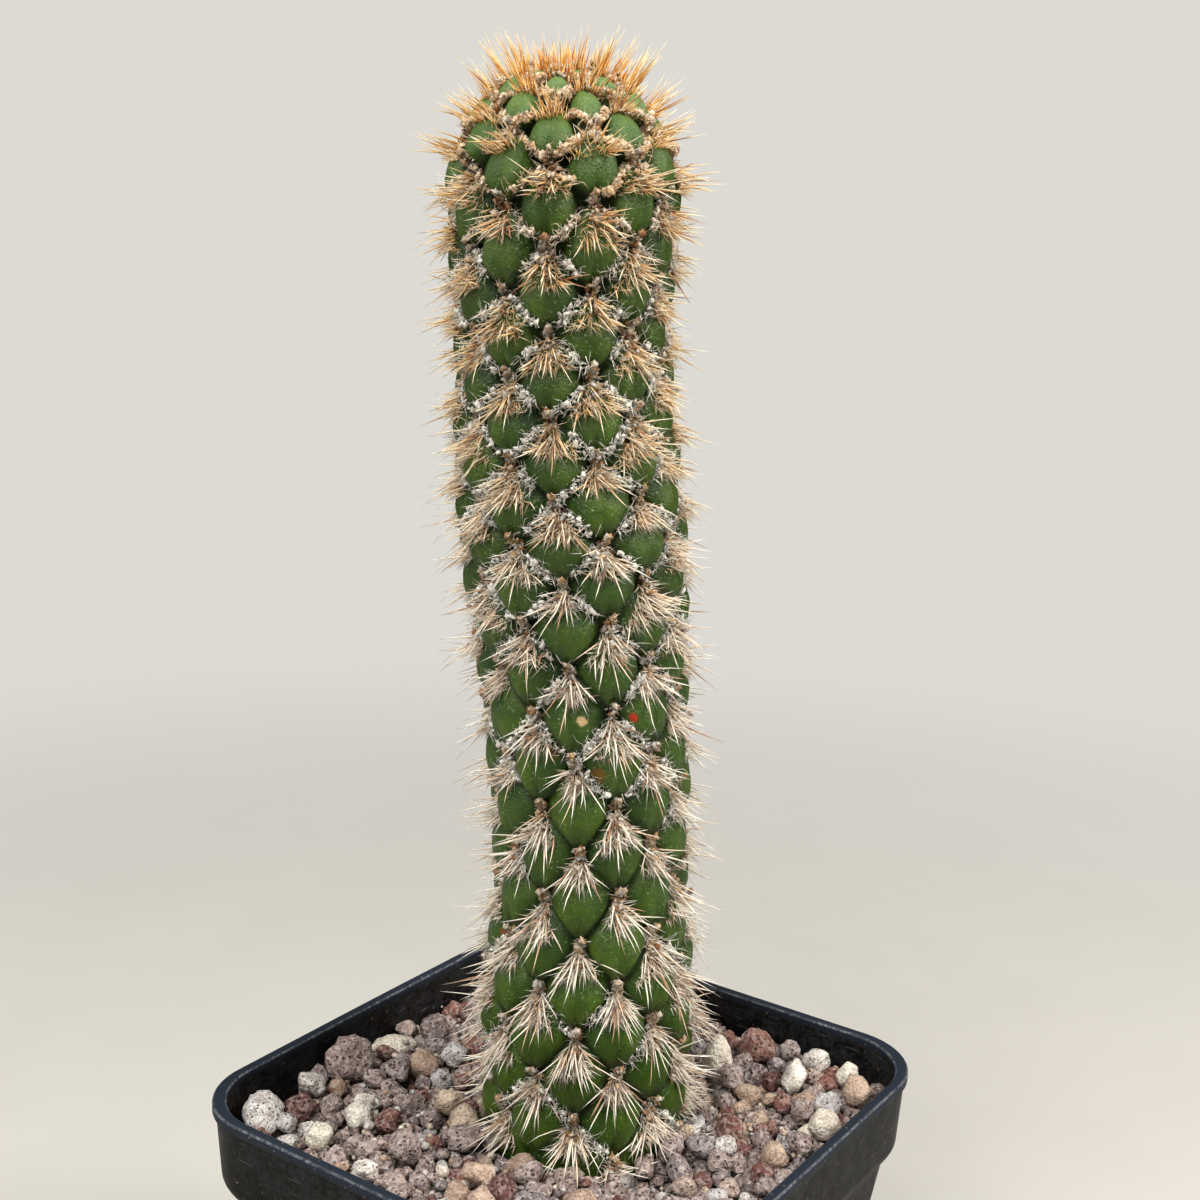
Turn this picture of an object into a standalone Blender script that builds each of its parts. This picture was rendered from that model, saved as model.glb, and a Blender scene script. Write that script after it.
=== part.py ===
# A potted cereus: a columnar cactus with tubercles and spines, standing in a square
# plastic nursery pot of potting mix under a bed of gravel. Metres, +Z up, the origin
# under the middle of the pot's base.

import math
import random
from bisect import bisect_left

import bmesh
import bpy
from mathutils import Matrix, Vector

MM = 0.001
GAP = 0.3 * MM  # clearance between neighbouring pieces

# Pot: half widths are measured to the flat of a side
RIM_HEIGHT = 90 * MM
RIM_HALF = 51 * MM
BEAD_HEIGHT = 2.2 * MM  # the proud edge round the top of the rim
BEAD_PROUD = 0.4 * MM
BAND_HEIGHT = 14 * MM  # the deep band of the rim
BAND_DRAFT = 0.05  # how much a side comes in for each unit down
STEP_HEIGHT = 3.5 * MM  # the rounded shoulder under the band
STEP_IN = 1.8 * MM
STEP_CURVE = (0.45, 0.35)  # up the shoulder, and out of a straight line there
SIDE_DRAFT = 0.15
WALL = 1.2 * MM
LIP_WIDTH = 2 * MM
FLOOR = 2 * MM
EDGE_ROUND = 0.5 * MM
CORNER_SHARE = 0.288  # corner radius as a share of the half width
CORNER_SEGMENTS = 7
DRAIN_RADIUS = 5 * MM
DRAIN_OFFSET = 21 * MM
DRAIN_SIDES = 16

# Fill
STONE_LEVEL = RIM_HEIGHT - 9 * MM  # the usual top of the gravel
BED_TOP = STONE_LEVEL - 2.2 * MM
STONE_PITCH = 8.6 * MM
STONE_RADII = (3.7 * MM, 4.8 * MM)
STONE_FLATNESS = 0.72
STONE_SLIMNESS = 0.75  # the narrowest stone's breadth, as a share of its length
STONE_TILT = 0.4
STONE_STRAY = 0.22  # off an even layout, as a share of the pitch
STONE_SINK = (0.9 * MM, -0.5 * MM)  # of a stone's middle under the bed's top
STONE_SEED = 11
STONE_JITTER = 0.16  # how far a stone's corners stray, as a share of its radius
STONE_TOP = -6 * MM  # from the rim: no stone by the stem stands higher
BAND_BOTTOM = RIM_HEIGHT - BAND_HEIGHT
STEP_BOTTOM = BAND_BOTTOM - STEP_HEIGHT

# Stem: heights are measured from the pot's rim
FOOT_BOTTOM = -45 * MM
FOOT_RADIUS = 17.6 * MM
FOOT_TOP = -10 * MM
HOLE_SIDES = 48
STEM_OFFSET = 2.8 * MM  # how far the foot stands off the pot's middle
LEAN_BACK = 8 * MM  # how far the stem then leans the other way
LEAN_FROM, LEAN_OVER = 35 * MM, 120 * MM
LEAN_HEADING = math.radians(34.8)
GIRTHS = (  # height, radius over the tubercles
    (FOOT_TOP, FOOT_RADIUS),
    (-3 * MM, 19.6 * MM),
    (14 * MM, 20.0 * MM),
    (45 * MM, 18.2 * MM),
    (75 * MM, 18.8 * MM),
    (105 * MM, 20.3 * MM),
    (138 * MM, 18.8 * MM),
    (163 * MM, 19.8 * MM),
)
DOME_HEIGHT = 18 * MM
OUTLINE_STEP = 0.5 * MM
CROWN_RADIUS = 4.5 * MM  # where the tubercles end, round the growing point

# Tubercles: one spiral that turns 48 degrees from each to the next, which makes
# 15 upright columns, crossed by 8 spirals one way and 7 the other
COLUMNS = 15
RISING, FALLING = 8, 7
FIRST_HEADING = math.radians(-61.2)
FIRST_HEIGHT = 17.4 * MM
LOW_PITCH, HIGH_PITCH = 16.7 * MM, 13.7 * MM  # from areole to areole up a column
PITCH_FROM, PITCH_OVER = 70 * MM, 35 * MM
TUBERCLE_DEPTH = 3.3 * MM
TUBERCLES_FULL = 9 * MM  # they reach their depth this far over the buried foot
DOME_TUBERCLES = (15 * MM, 0.7)  # the radius under which they shrink, and how fast
TUBERCLE_SAG = 0.62  # under 1 lets the swelling hang low over a steep chin
TUBERCLE_PLUMPNESS = 0.6
CELL_STOPS = (0.0, 0.16, 0.52)  # where a tubercle is cut, as shares of its diamond

# Spines
# Roots and headings of an areole's spines: how far the root hangs under the crossing
# and stands aside, as shares of a diamond, then the spine's turn from straight down
# and its lift off the skin, in degrees
AREOLE_SPINES = (
    (0.16, -0.11, -62, 42),
    (0.20, 0, 0, 42),
    (0.16, 0.11, 62, 42),
    (0.07, 0, 0, 76),
)
CROWN_SHARE = 0.45  # of the dome's curve, past which an areole has one spine
CROWN_LIFT = 68
CROWN_TUFT = 13  # spines standing on the growing point
CROWN_SPREAD = 0.55  # how far the outermost of them leans out, for each unit up
CROWN_FILL = 0.7  # the share of the crown's radius that they stand on
GOLDEN_TURN = math.radians(137.5)
SPINE_SEED = 7
SPINE_LENGTHS = (8.5 * MM, 10.5 * MM)
SPINE_RADIUS = 0.34 * MM
SPINE_ROOT = 2.8 * MM
SPINE_STRAY = 9  # degrees
SPINE_CLEARANCE = 2.4 * MM  # over the gravel's usual top

BLACK_PLASTIC = ("black_plastic", (0.018, 0.019, 0.021), 0.45)
SOIL = ("potting_mix", (0.055, 0.036, 0.024), 0.95)
STONE = ("mixed_gravel", (0.30, 0.23, 0.21), 0.9)
SKIN = ("green_skin", (0.045, 0.13, 0.035), 0.42)
SPINE = ("spine", (0.72, 0.55, 0.36), 0.6)


def smooth(share):
    share = min(max(share, 0.0), 1.0)
    return share * share * (3 - 2 * share)


def make_material(name, colour, roughness):
    material = bpy.data.materials.new(name)
    material.use_nodes = True
    shader = material.node_tree.nodes["Principled BSDF"]
    shader.inputs["Base Color"].default_value = (*colour, 1)
    shader.inputs["Roughness"].default_value = roughness
    shader.inputs["Metallic"].default_value = 0
    return material


def add_object(name, bm, collection, material):
    mesh = bpy.data.meshes.new(name)
    bm.to_mesh(mesh)
    bm.free()
    mesh.materials.append(material)
    obj = bpy.data.objects.new(name, mesh)
    collection.objects.link(obj)
    return obj


def add_boolean(obj, operation, solver, tool=None, tools=None):
    boolean = obj.modifiers.new(operation.title(), "BOOLEAN")
    boolean.operation = operation
    boolean.solver = solver
    if tools:
        boolean.operand_type = "COLLECTION"
        boolean.collection = tools
    else:
        boolean.object = tool
    return boolean


# The faces of each loose piece of a mesh, the largest piece last
def loose_pieces(bm):
    pieces, seen = [], set()
    for start in bm.faces:
        if start in seen:
            continue
        piece = [start]
        seen.add(start)
        for face in piece:
            for edge in face.edges:
                for other in edge.link_faces:
                    if other not in seen:
                        seen.add(other)
                        piece.append(other)
        pieces.append(piece)
    return sorted(pieces, key=len)


# Joins every object of a collection to obj, then removes those objects. Pieces that
# cross can close a pocket or cut off a crumb between them, and both are cleared
def fuse(obj, tools):
    boolean = add_boolean(obj, "UNION", "MANIFOLD", tools=tools)
    boolean.material_mode = "TRANSFER"
    graph = bpy.context.evaluated_depsgraph_get()
    fused = bpy.data.meshes.new_from_object(obj.evaluated_get(graph))
    obj.modifiers.remove(boolean)
    bm = bmesh.new()
    bm.from_mesh(fused)
    for crumb in loose_pieces(bm)[:-1]:
        bmesh.ops.delete(bm, geom=crumb, context="FACES")
    bm.to_mesh(fused)
    bm.free()
    obj.data = fused
    for tool in list(tools.objects):
        bpy.data.objects.remove(tool)


# One ring of a square with round corners, counter-clockwise seen from above
def rounded_square(bm, half, height):
    radius = CORNER_SHARE * half
    ring = []
    for corner in range(4):
        for step in range(CORNER_SEGMENTS + 1):
            angle = (corner + step / CORNER_SEGMENTS) * math.pi / 2
            middle = (half - radius) * math.sqrt(2)
            heading = (corner + 0.5) * math.pi / 2
            ring.append(
                bm.verts.new(
                    (
                        middle * math.cos(heading) + radius * math.cos(angle),
                        middle * math.sin(heading) + radius * math.sin(angle),
                        height,
                    )
                )
            )
    return ring


# A closed solid through square rings, from the first ring's cap to the last one's
def loft_squares(levels):
    bm = bmesh.new()
    rings = [rounded_square(bm, half, height) for half, height in levels]
    for low, high in zip(rings, rings[1:]):
        for i in range(len(low)):
            j = (i + 1) % len(low)
            bm.faces.new((low[i], low[j], high[j], high[i]))
    bm.faces.new(reversed(rings[0]))
    bm.faces.new(rings[-1])
    bmesh.ops.recalc_face_normals(bm, faces=bm.faces)
    return bm


# Half width of the pot's outside below the bead, to the flat of a side
def outer_half(height):
    band_top = RIM_HALF - BEAD_PROUD
    band_foot = band_top - BAND_DRAFT * BAND_HEIGHT
    if height >= BAND_BOTTOM:
        return band_foot + BAND_DRAFT * (height - BAND_BOTTOM)
    if height >= STEP_BOTTOM:
        return band_foot - STEP_IN * (BAND_BOTTOM - height) / STEP_HEIGHT
    return band_foot - STEP_IN - SIDE_DRAFT * (STEP_BOTTOM - height)


def inner_half(height):
    return outer_half(height) - WALL


def make_pot(collection, cutters, material):
    bead_foot = RIM_HEIGHT - BEAD_HEIGHT
    up, out = STEP_CURVE
    shoulder = STEP_BOTTOM + up * STEP_HEIGHT
    levels = [
        (outer_half(0) - 2 * EDGE_ROUND, 0),
        (outer_half(2 * EDGE_ROUND), 2 * EDGE_ROUND),
        (outer_half(STEP_BOTTOM), STEP_BOTTOM),
        (outer_half(shoulder) + out * STEP_IN, shoulder),
        (outer_half(BAND_BOTTOM), BAND_BOTTOM),
        (outer_half(bead_foot), bead_foot),
        (RIM_HALF, bead_foot + EDGE_ROUND),
        (RIM_HALF, RIM_HEIGHT - EDGE_ROUND),
        (RIM_HALF - EDGE_ROUND, RIM_HEIGHT),
        (RIM_HALF - LIP_WIDTH, RIM_HEIGHT),
        (inner_half(bead_foot), bead_foot),
        (inner_half(BAND_BOTTOM), BAND_BOTTOM),
        (inner_half(STEP_BOTTOM), STEP_BOTTOM),
        (inner_half(FLOOR), FLOOR),
    ]
    pot = add_object("pot", loft_squares(levels), collection, material)
    pot.data.shade_smooth()
    pot.data.set_sharp_from_angle(angle=math.radians(40))
    drains = bmesh.new()
    for x in (-DRAIN_OFFSET, DRAIN_OFFSET):
        for y in (-DRAIN_OFFSET, DRAIN_OFFSET):
            bmesh.ops.create_cone(
                drains,
                cap_ends=True,
                segments=DRAIN_SIDES,
                radius1=DRAIN_RADIUS,
                radius2=DRAIN_RADIUS,
                depth=4 * FLOOR,
                matrix=Matrix.Translation((x, y, FLOOR / 2)),
            )
    cutter = add_object("pot_drains", drains, cutters, material)
    add_boolean(pot, "DIFFERENCE", "EXACT", tool=cutter)


# Middle of the stem at a height over the rim
def stem_axis(height):
    offset = STEM_OFFSET - LEAN_BACK * smooth((height - LEAN_FROM) / LEAN_OVER)
    return Vector(
        (
            offset * math.cos(LEAN_HEADING),
            offset * math.sin(LEAN_HEADING),
            RIM_HEIGHT + height,
        )
    )


def add_stem_hole(obj, cutters, bottom, material):
    bm = bmesh.new()
    depth = RIM_HEIGHT - bottom
    middle = stem_axis(0)
    bmesh.ops.create_cone(
        bm,
        cap_ends=True,
        segments=HOLE_SIDES,
        radius1=FOOT_RADIUS + GAP,
        radius2=FOOT_RADIUS + GAP,
        depth=depth,
        matrix=Matrix.Translation((middle.x, middle.y, bottom + depth / 2)),
    )
    cutter = add_object(obj.name + "_hole", bm, cutters, material)
    return add_boolean(obj, "DIFFERENCE", "EXACT", tool=cutter)


def make_potting_mix(collection, cutters, material):
    bottom, top = FLOOR + GAP, STEP_BOTTOM - GAP
    levels = [(inner_half(height) - GAP, height) for height in (bottom, top)]
    mix = add_object("potting_mix", loft_squares(levels), collection, material)
    add_stem_hole(mix, cutters, RIM_HEIGHT + FOOT_BOTTOM - GAP, material)


# A pebble with chipped faces, flat side down as stones settle
def add_stone(tools, place, radius, rng, material):
    bm = bmesh.new()
    bmesh.ops.create_icosphere(bm, subdivisions=1, radius=radius)
    for vert in bm.verts:
        vert.co *= 1 + rng.uniform(-STONE_JITTER, STONE_JITTER)
    stone = add_object("stone", bm, tools, material)
    turn = Matrix.Rotation(rng.uniform(0, math.tau), 4, "Z")
    tilt = Matrix.Rotation(rng.uniform(-STONE_TILT, STONE_TILT), 4, "X")
    flat = Matrix.Diagonal((1, rng.uniform(STONE_SLIMNESS, 1), STONE_FLATNESS, 1))
    stone.matrix_world = Matrix.Translation(place) @ turn @ tilt @ flat


def make_gravel(collection, cutters, tools, material):
    rng = random.Random(STONE_SEED)
    levels = [
        (inner_half(height) - GAP, height)
        for height in (STEP_BOTTOM, BAND_BOTTOM, BED_TOP)
    ]
    gravel = add_object("gravel", loft_squares(levels), collection, material)
    stem = stem_axis(0)
    widest = inner_half(BED_TOP)
    row_step = STONE_PITCH * math.sqrt(3) / 2
    rows = math.floor(widest / row_step)
    stray = STONE_STRAY * STONE_PITCH
    for row in range(-rows, rows + 1):
        for column in range(-rows, rows + 1):
            x = (column + row % 2 / 2) * STONE_PITCH + rng.uniform(-stray, stray)
            y = row * row_step + rng.uniform(-stray, stray)
            radius = rng.uniform(*STONE_RADII)
            reach = radius * (1 + STONE_JITTER)
            # Stones by the wall or the stem are pushed off until they lie clear of it
            limit = widest - GAP - reach
            x = min(max(x, -limit), limit)
            y = min(max(y, -limit), limit)
            corner = (1 - CORNER_SHARE) * widest
            inset = Vector((max(abs(x) - corner, 0), max(abs(y) - corner, 0)))
            if inset.length > CORNER_SHARE * widest - GAP - reach:
                continue
            away = Vector((x - stem.x, y - stem.y))
            clear = stem_girth(STONE_TOP) + GAP + reach
            if away.length < FOOT_RADIUS:
                continue
            if away.length < clear:
                x, y = stem.xy + away.normalized() * clear
            height = BED_TOP - rng.uniform(*STONE_SINK)
            add_stone(tools, (x, y, height), radius, rng, material)
    fuse(gravel, tools)
    add_stem_hole(gravel, cutters, STEP_BOTTOM - MM, material)


# Radius over the tubercles at a height over the rim, below the dome
def stem_girth(height):
    if height <= GIRTHS[0][0]:
        return GIRTHS[0][1]
    for (low, narrow), (high, wide) in zip(GIRTHS, GIRTHS[1:]):
        if height <= high:
            return narrow + (wide - narrow) * smooth((height - low) / (high - low))
    return GIRTHS[-1][1]


# The stem's outline as stations, each (rise, radius, height, slope of its normal),
# where rise counts tubercles up a column, and is 0 at the first areole
def stem_outline():
    dome_foot, dome_radius = GIRTHS[-1]
    stations = []
    rise = 0.0
    height = FOOT_TOP - LOW_PITCH
    while height < dome_foot:
        stations.append((rise, stem_girth(height), height, 0.0))
        pitch = LOW_PITCH + (HIGH_PITCH - LOW_PITCH) * smooth(
            (height - PITCH_FROM) / PITCH_OVER
        )
        rise += OUTLINE_STEP / pitch
        height += OUTLINE_STEP
    angle = 0.0
    while dome_radius * math.cos(angle) > CROWN_RADIUS / 2:
        radius = dome_radius * math.cos(angle)
        stations.append(
            (rise, radius, dome_foot + DOME_HEIGHT * math.sin(angle), angle)
        )
        arc = math.hypot(dome_radius * math.sin(angle), DOME_HEIGHT * math.cos(angle))
        rise += OUTLINE_STEP / (HIGH_PITCH * radius / dome_radius)
        angle += OUTLINE_STEP / arc
    first = next(station[0] for station in stations if station[2] >= FIRST_HEIGHT)
    return [(rise - first, *rest) for rise, *rest in stations]


# Radius, height and normal's slope where the outline reaches a rise
def outline_at(outline, rise):
    high = min(max(bisect_left(outline, (rise,)), 1), len(outline) - 1)
    (before, *low), (after, *up) = outline[high - 1], outline[high]
    share = min(max((rise - before) / (after - before), 0.0), 1.0)
    return [a + (b - a) * share for a, b in zip(low, up)]


# Depth of the tubercles at a height: none on the buried foot, less round the crown
def tubercle_depth(radius, height):
    rooted = smooth((height - FOOT_TOP) / TUBERCLES_FULL)
    full_radius, power = DOME_TUBERCLES
    return TUBERCLE_DEPTH * rooted * min(1.0, radius / full_radius) ** power


# A point of the stem's skin. Across and along count diamonds on the two crossing
# spirals, with the areoles at whole numbers, and each tubercle fills one diamond
def skin_point(outline, across, along):
    rise = (RISING * across + FALLING * along) / COLUMNS
    heading = FIRST_HEADING + (across - along) * math.tau / COLUMNS
    radius, height, slope = outline_at(outline, rise)
    swell = 1.0
    for place in (across, along):
        share = place - math.floor(place)
        swell *= math.sin(math.pi * share**TUBERCLE_SAG)
    sunk = tubercle_depth(radius, height) * (1 - max(swell, 0.0) ** TUBERCLE_PLUMPNESS)
    outward = Vector((math.cos(heading), math.sin(heading), 0))
    normal = outward * math.cos(slope) + Vector((0, 0, math.sin(slope)))
    return stem_axis(height) + outward * radius - normal * sunk, normal


# The skin as one mesh on the two spirals' grid, closed by a crown and a cut foot
def make_skin(outline, collection, material):
    bm = bmesh.new()
    stops = len(CELL_STOPS)
    lowest, highest = outline[0][0], outline_crown(outline)
    verts = {}

    # The grid meets itself round the stem: 7 diamonds across are 8 back along
    def key(across, along):
        turns = across // (FALLING * stops)
        return across - turns * FALLING * stops, along + turns * RISING * stops

    def place(index):
        return index // stops + CELL_STOPS[index % stops]

    for across in range(FALLING * stops):
        first = math.floor((lowest * COLUMNS - RISING * place(across)) / FALLING)
        last = math.ceil((highest * COLUMNS - RISING * place(across)) / FALLING)
        for along in range(first * stops, last * stops + 1):
            rise = (RISING * place(across) + FALLING * place(along)) / COLUMNS
            if lowest <= rise <= highest:
                point, _ = skin_point(outline, place(across), place(along))
                verts[across, along] = bm.verts.new(point)
    for across, along in list(verts):
        low, right, high, left = (
            verts.get(key(across + right, along + up))
            for right, up in ((0, 0), (1, 0), (1, 1), (0, 1))
        )
        if low and right and high and left:
            bm.faces.new((low, right, left))
            bm.faces.new((right, high, left))
    loose = [vert for vert in bm.verts if len(vert.link_faces) == 0]
    bmesh.ops.delete(bm, geom=loose, context="VERTS")
    # The crown, filled and drawn up to the growing point
    rim = [edge for edge in bm.edges if edge.is_boundary]
    top = [edge for edge in rim if edge.verts[0].co.z > RIM_HEIGHT]
    cap = bmesh.ops.contextual_create(bm, geom=top)["faces"]
    apex = bmesh.ops.poke(bm, faces=cap)["verts"][0]
    apex.co = stem_axis(GIRTHS[-1][0] + DOME_HEIGHT)
    # The buried foot, cut square under the tubercles and drawn down plain
    cut = bmesh.ops.bisect_plane(
        bm,
        geom=bm.verts[:] + bm.edges[:] + bm.faces[:],
        plane_co=(0, 0, RIM_HEIGHT + FOOT_TOP),
        plane_no=(0, 0, 1),
        clear_inner=True,
    )["geom_cut"]
    edges = [item for item in cut if isinstance(item, bmesh.types.BMEdge)]
    foot = bmesh.ops.extrude_edge_only(bm, edges=edges)["geom"]
    ring = [item for item in foot if isinstance(item, bmesh.types.BMVert)]
    bmesh.ops.translate(bm, verts=ring, vec=(0, 0, FOOT_BOTTOM - FOOT_TOP))
    edges = [item for item in foot if isinstance(item, bmesh.types.BMEdge)]
    bmesh.ops.contextual_create(bm, geom=edges)
    bmesh.ops.recalc_face_normals(bm, faces=bm.faces)
    return add_object("cereus", bm, collection, material)


# The rise at which the tubercles end
def outline_crown(outline):
    return next(s[0] for s in outline if s[3] > 0 and s[1] < CROWN_RADIUS)


def make_needle_mesh(material):
    bm = bmesh.new()
    bmesh.ops.create_cone(
        bm,
        cap_ends=True,
        segments=3,
        radius1=SPINE_RADIUS,
        radius2=0,
        depth=1,
        matrix=Matrix.Translation((0, 0, 0.5)),
    )
    mesh = bpy.data.meshes.new("needle")
    bm.to_mesh(mesh)
    bm.free()
    mesh.materials.append(material)
    return mesh


def add_spine(tools, needle, point, heading, length):
    spine = bpy.data.objects.new("spine", needle)
    spine.matrix_world = (
        Matrix.Translation(point - heading * SPINE_ROOT)
        @ heading.to_track_quat("Z", "Y").to_matrix().to_4x4()
        @ Matrix.Diagonal((1, 1, length + SPINE_ROOT, 1))
    )
    tools.objects.link(spine)


# A fan of spines from each areole, which hangs down and out on the column and
# opens upright towards the crown
def add_areole_spines(outline, tools, needle, rng):
    first = math.ceil(outline[0][0] * COLUMNS)
    last = math.floor(outline_crown(outline) * COLUMNS)
    for count in range(first, last + 1):
        _, normal = skin_point(outline, count, -count)
        upright = math.asin(normal.z) / (math.pi / 2)
        side = Vector((0, 0, 1)).cross(normal).normalized()
        down = normal.cross(side)
        down = -down if down.z > 0 else down
        spines = AREOLE_SPINES if upright < CROWN_SHARE else AREOLE_SPINES[1:2]
        for drop, aside, turn, lift in spines:
            point, _ = skin_point(outline, count - drop + aside, -count - drop - aside)
            lift += (CROWN_LIFT - lift) * upright + rng.uniform(-1, 1) * SPINE_STRAY
            turn += rng.uniform(-1, 1) * SPINE_STRAY
            turn, lift = math.radians(turn), math.radians(lift)
            flat = down * math.cos(turn) + side * math.sin(turn)
            heading = flat * math.cos(lift) + normal * math.sin(lift)
            length = rng.uniform(*SPINE_LENGTHS)
            tip = point + heading * length
            if tip.z > STONE_LEVEL + SPINE_CLEARANCE:
                add_spine(tools, needle, point, heading, length)


# The tuft on the growing point, on a spiral from its middle
def add_crown_spines(tools, needle, rng):
    apex = stem_axis(GIRTHS[-1][0] + DOME_HEIGHT)
    for count in range(CROWN_TUFT):
        reach = math.sqrt((count + 0.5) / CROWN_TUFT)
        turn = count * GOLDEN_TURN
        out = Vector((math.cos(turn), math.sin(turn), 0)) * reach
        heading = (Vector((0, 0, 1)) + out * CROWN_SPREAD).normalized()
        point = apex + out * CROWN_RADIUS * CROWN_FILL
        point.z -= SPINE_ROOT / 2
        add_spine(tools, needle, point, heading, rng.uniform(*SPINE_LENGTHS))


def make_cereus(collection, tools, skin, spine):
    outline = stem_outline()
    cereus = make_skin(outline, collection, skin)
    rng = random.Random(SPINE_SEED)
    needle = make_needle_mesh(spine)
    add_areole_spines(outline, tools, needle, rng)
    add_crown_spines(tools, needle, rng)
    fuse(cereus, tools)


def main():
    for obj in list(bpy.data.objects):
        bpy.data.objects.remove(obj)
    parts = bpy.data.collections.new("potted_cereus")
    cutters = bpy.data.collections.new("cutters")
    tools = bpy.data.collections.new("pieces_to_fuse")
    for collection in (parts, cutters, tools):
        bpy.context.scene.collection.children.link(collection)
    plastic, soil, stone, skin, spine = (
        make_material(*values) for values in (BLACK_PLASTIC, SOIL, STONE, SKIN, SPINE)
    )
    make_pot(parts, cutters, plastic)
    make_potting_mix(parts, cutters, soil)
    make_gravel(parts, cutters, tools, stone)
    make_cereus(parts, tools, skin, spine)
    for cutter in cutters.objects:
        cutter.hide_render = True
        cutter.display_type = "WIRE"


main()
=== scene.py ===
import random
from math import cos, hypot, pi, radians, sin, sqrt, tau

import bmesh
import bpy
import numpy as np
from mathutils import Matrix, Quaternion, Vector, noise


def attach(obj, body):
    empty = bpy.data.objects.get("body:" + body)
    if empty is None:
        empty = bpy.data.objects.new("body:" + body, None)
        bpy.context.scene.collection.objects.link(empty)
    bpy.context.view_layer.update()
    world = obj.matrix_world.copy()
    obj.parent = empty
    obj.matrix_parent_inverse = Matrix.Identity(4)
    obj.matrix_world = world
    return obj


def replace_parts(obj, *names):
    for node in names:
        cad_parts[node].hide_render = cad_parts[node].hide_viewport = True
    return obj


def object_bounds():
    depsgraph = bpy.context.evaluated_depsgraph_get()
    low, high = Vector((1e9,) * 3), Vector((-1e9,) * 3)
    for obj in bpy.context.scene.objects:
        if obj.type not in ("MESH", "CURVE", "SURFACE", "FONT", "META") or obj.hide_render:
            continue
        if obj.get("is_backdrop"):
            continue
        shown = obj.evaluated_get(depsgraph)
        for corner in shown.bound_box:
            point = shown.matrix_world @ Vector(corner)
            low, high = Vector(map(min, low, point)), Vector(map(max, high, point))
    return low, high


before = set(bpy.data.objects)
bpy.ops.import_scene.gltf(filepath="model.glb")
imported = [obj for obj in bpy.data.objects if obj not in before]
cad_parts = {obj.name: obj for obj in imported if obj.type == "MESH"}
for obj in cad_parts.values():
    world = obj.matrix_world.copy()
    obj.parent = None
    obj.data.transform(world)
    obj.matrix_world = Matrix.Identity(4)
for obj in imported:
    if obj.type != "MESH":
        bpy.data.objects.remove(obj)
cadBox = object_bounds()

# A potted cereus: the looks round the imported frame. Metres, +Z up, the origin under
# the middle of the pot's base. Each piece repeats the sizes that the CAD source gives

mm = 0.001
rimHeight = 90 * mm  # heights on the stem are counted from the pot's rim
zUp = np.array((0.0, 0.0, 1.0))
tiny = 1e-9  # keeps divisions by a length clear of zero


# Numbers and meshes

def smooth(share):
    share = np.clip(share, 0, 1)
    return share * share * (3 - 2 * share)


def unit(vectors):
    return vectors / np.linalg.norm(vectors, axis=-1, keepdims=True)


def spread(rng, low, high, count):
    return np.array([rng.uniform(low, high) for each in range(count)])


# Random arrows, as many as asked for
def arrows(rng, size, count):
    return np.array([[rng.gauss(0, size) for axis in range(3)] for arrow in range(count)])


# Level headings at these angles round the stem
def levelHeadings(angles):
    return np.stack((np.cos(angles), np.sin(angles), np.zeros_like(angles)), axis=-1)


# Blender's noise at each place, about -1 to 1
def grain(places, size, seed=0.0):
    flat = places.reshape(-1, 3) / size + seed
    return np.array([noise.noise(place) for place in flat.tolist()]).reshape(places.shape[:-1])


def addObject(name, data):
    item = bpy.data.objects.new(name, data)
    bpy.context.scene.collection.objects.link(item)
    return item


def placePiece(name, mesh, material):
    piece = addObject(name, mesh)
    mesh.materials.clear()
    mesh.materials.append(material)
    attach(piece, "root")
    print("made", name, "with", len(mesh.polygons), "faces")
    return piece


# Values at a mesh's vertices, for its material
def storeValues(mesh, values):
    for key, value in values.items():
        attribute = mesh.attributes.new(key, "FLOAT", "POINT")
        attribute.data.foreach_set("value", np.asarray(value, float).ravel())


# A piece from its places, quads, triangles and values
def makePiece(name, shape, material):
    places, quads, triangles, values = shape
    quads = np.asarray(quads, int).reshape(-1, 4)
    triangles = np.asarray(triangles, int).reshape(-1, 3)
    corners = np.concatenate((quads.ravel(), triangles.ravel()))
    starts = np.concatenate((
        np.arange(len(quads)) * 4,
        len(quads) * 4 + np.arange(len(triangles)) * 3,
    ))
    mesh = bpy.data.meshes.new(name)
    mesh.vertices.add(len(places))
    mesh.vertices.foreach_set("co", places.ravel())
    mesh.loops.add(len(corners))
    mesh.loops.foreach_set("vertex_index", corners)
    mesh.polygons.add(len(starts))
    mesh.polygons.foreach_set("loop_start", starts)
    mesh.update(calc_edges=True)
    mesh.validate()
    mesh.shade_smooth()
    storeValues(mesh, values)
    return placePiece(name, mesh, material)


def finishMesh(name, bm):
    mesh = bpy.data.meshes.new(name)
    bm.to_mesh(mesh)
    bm.free()
    return mesh


# Quads from each ring of places to another one, given the numbers where the rings start
def joinRings(lows, highs, around):
    ring = np.arange(around)
    after = (ring + 1) % around
    low, high = lows[:, None], highs[:, None]
    return np.stack((low + ring, low + after, high + after, high + ring), axis=-1).reshape(-1, 4)


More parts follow.
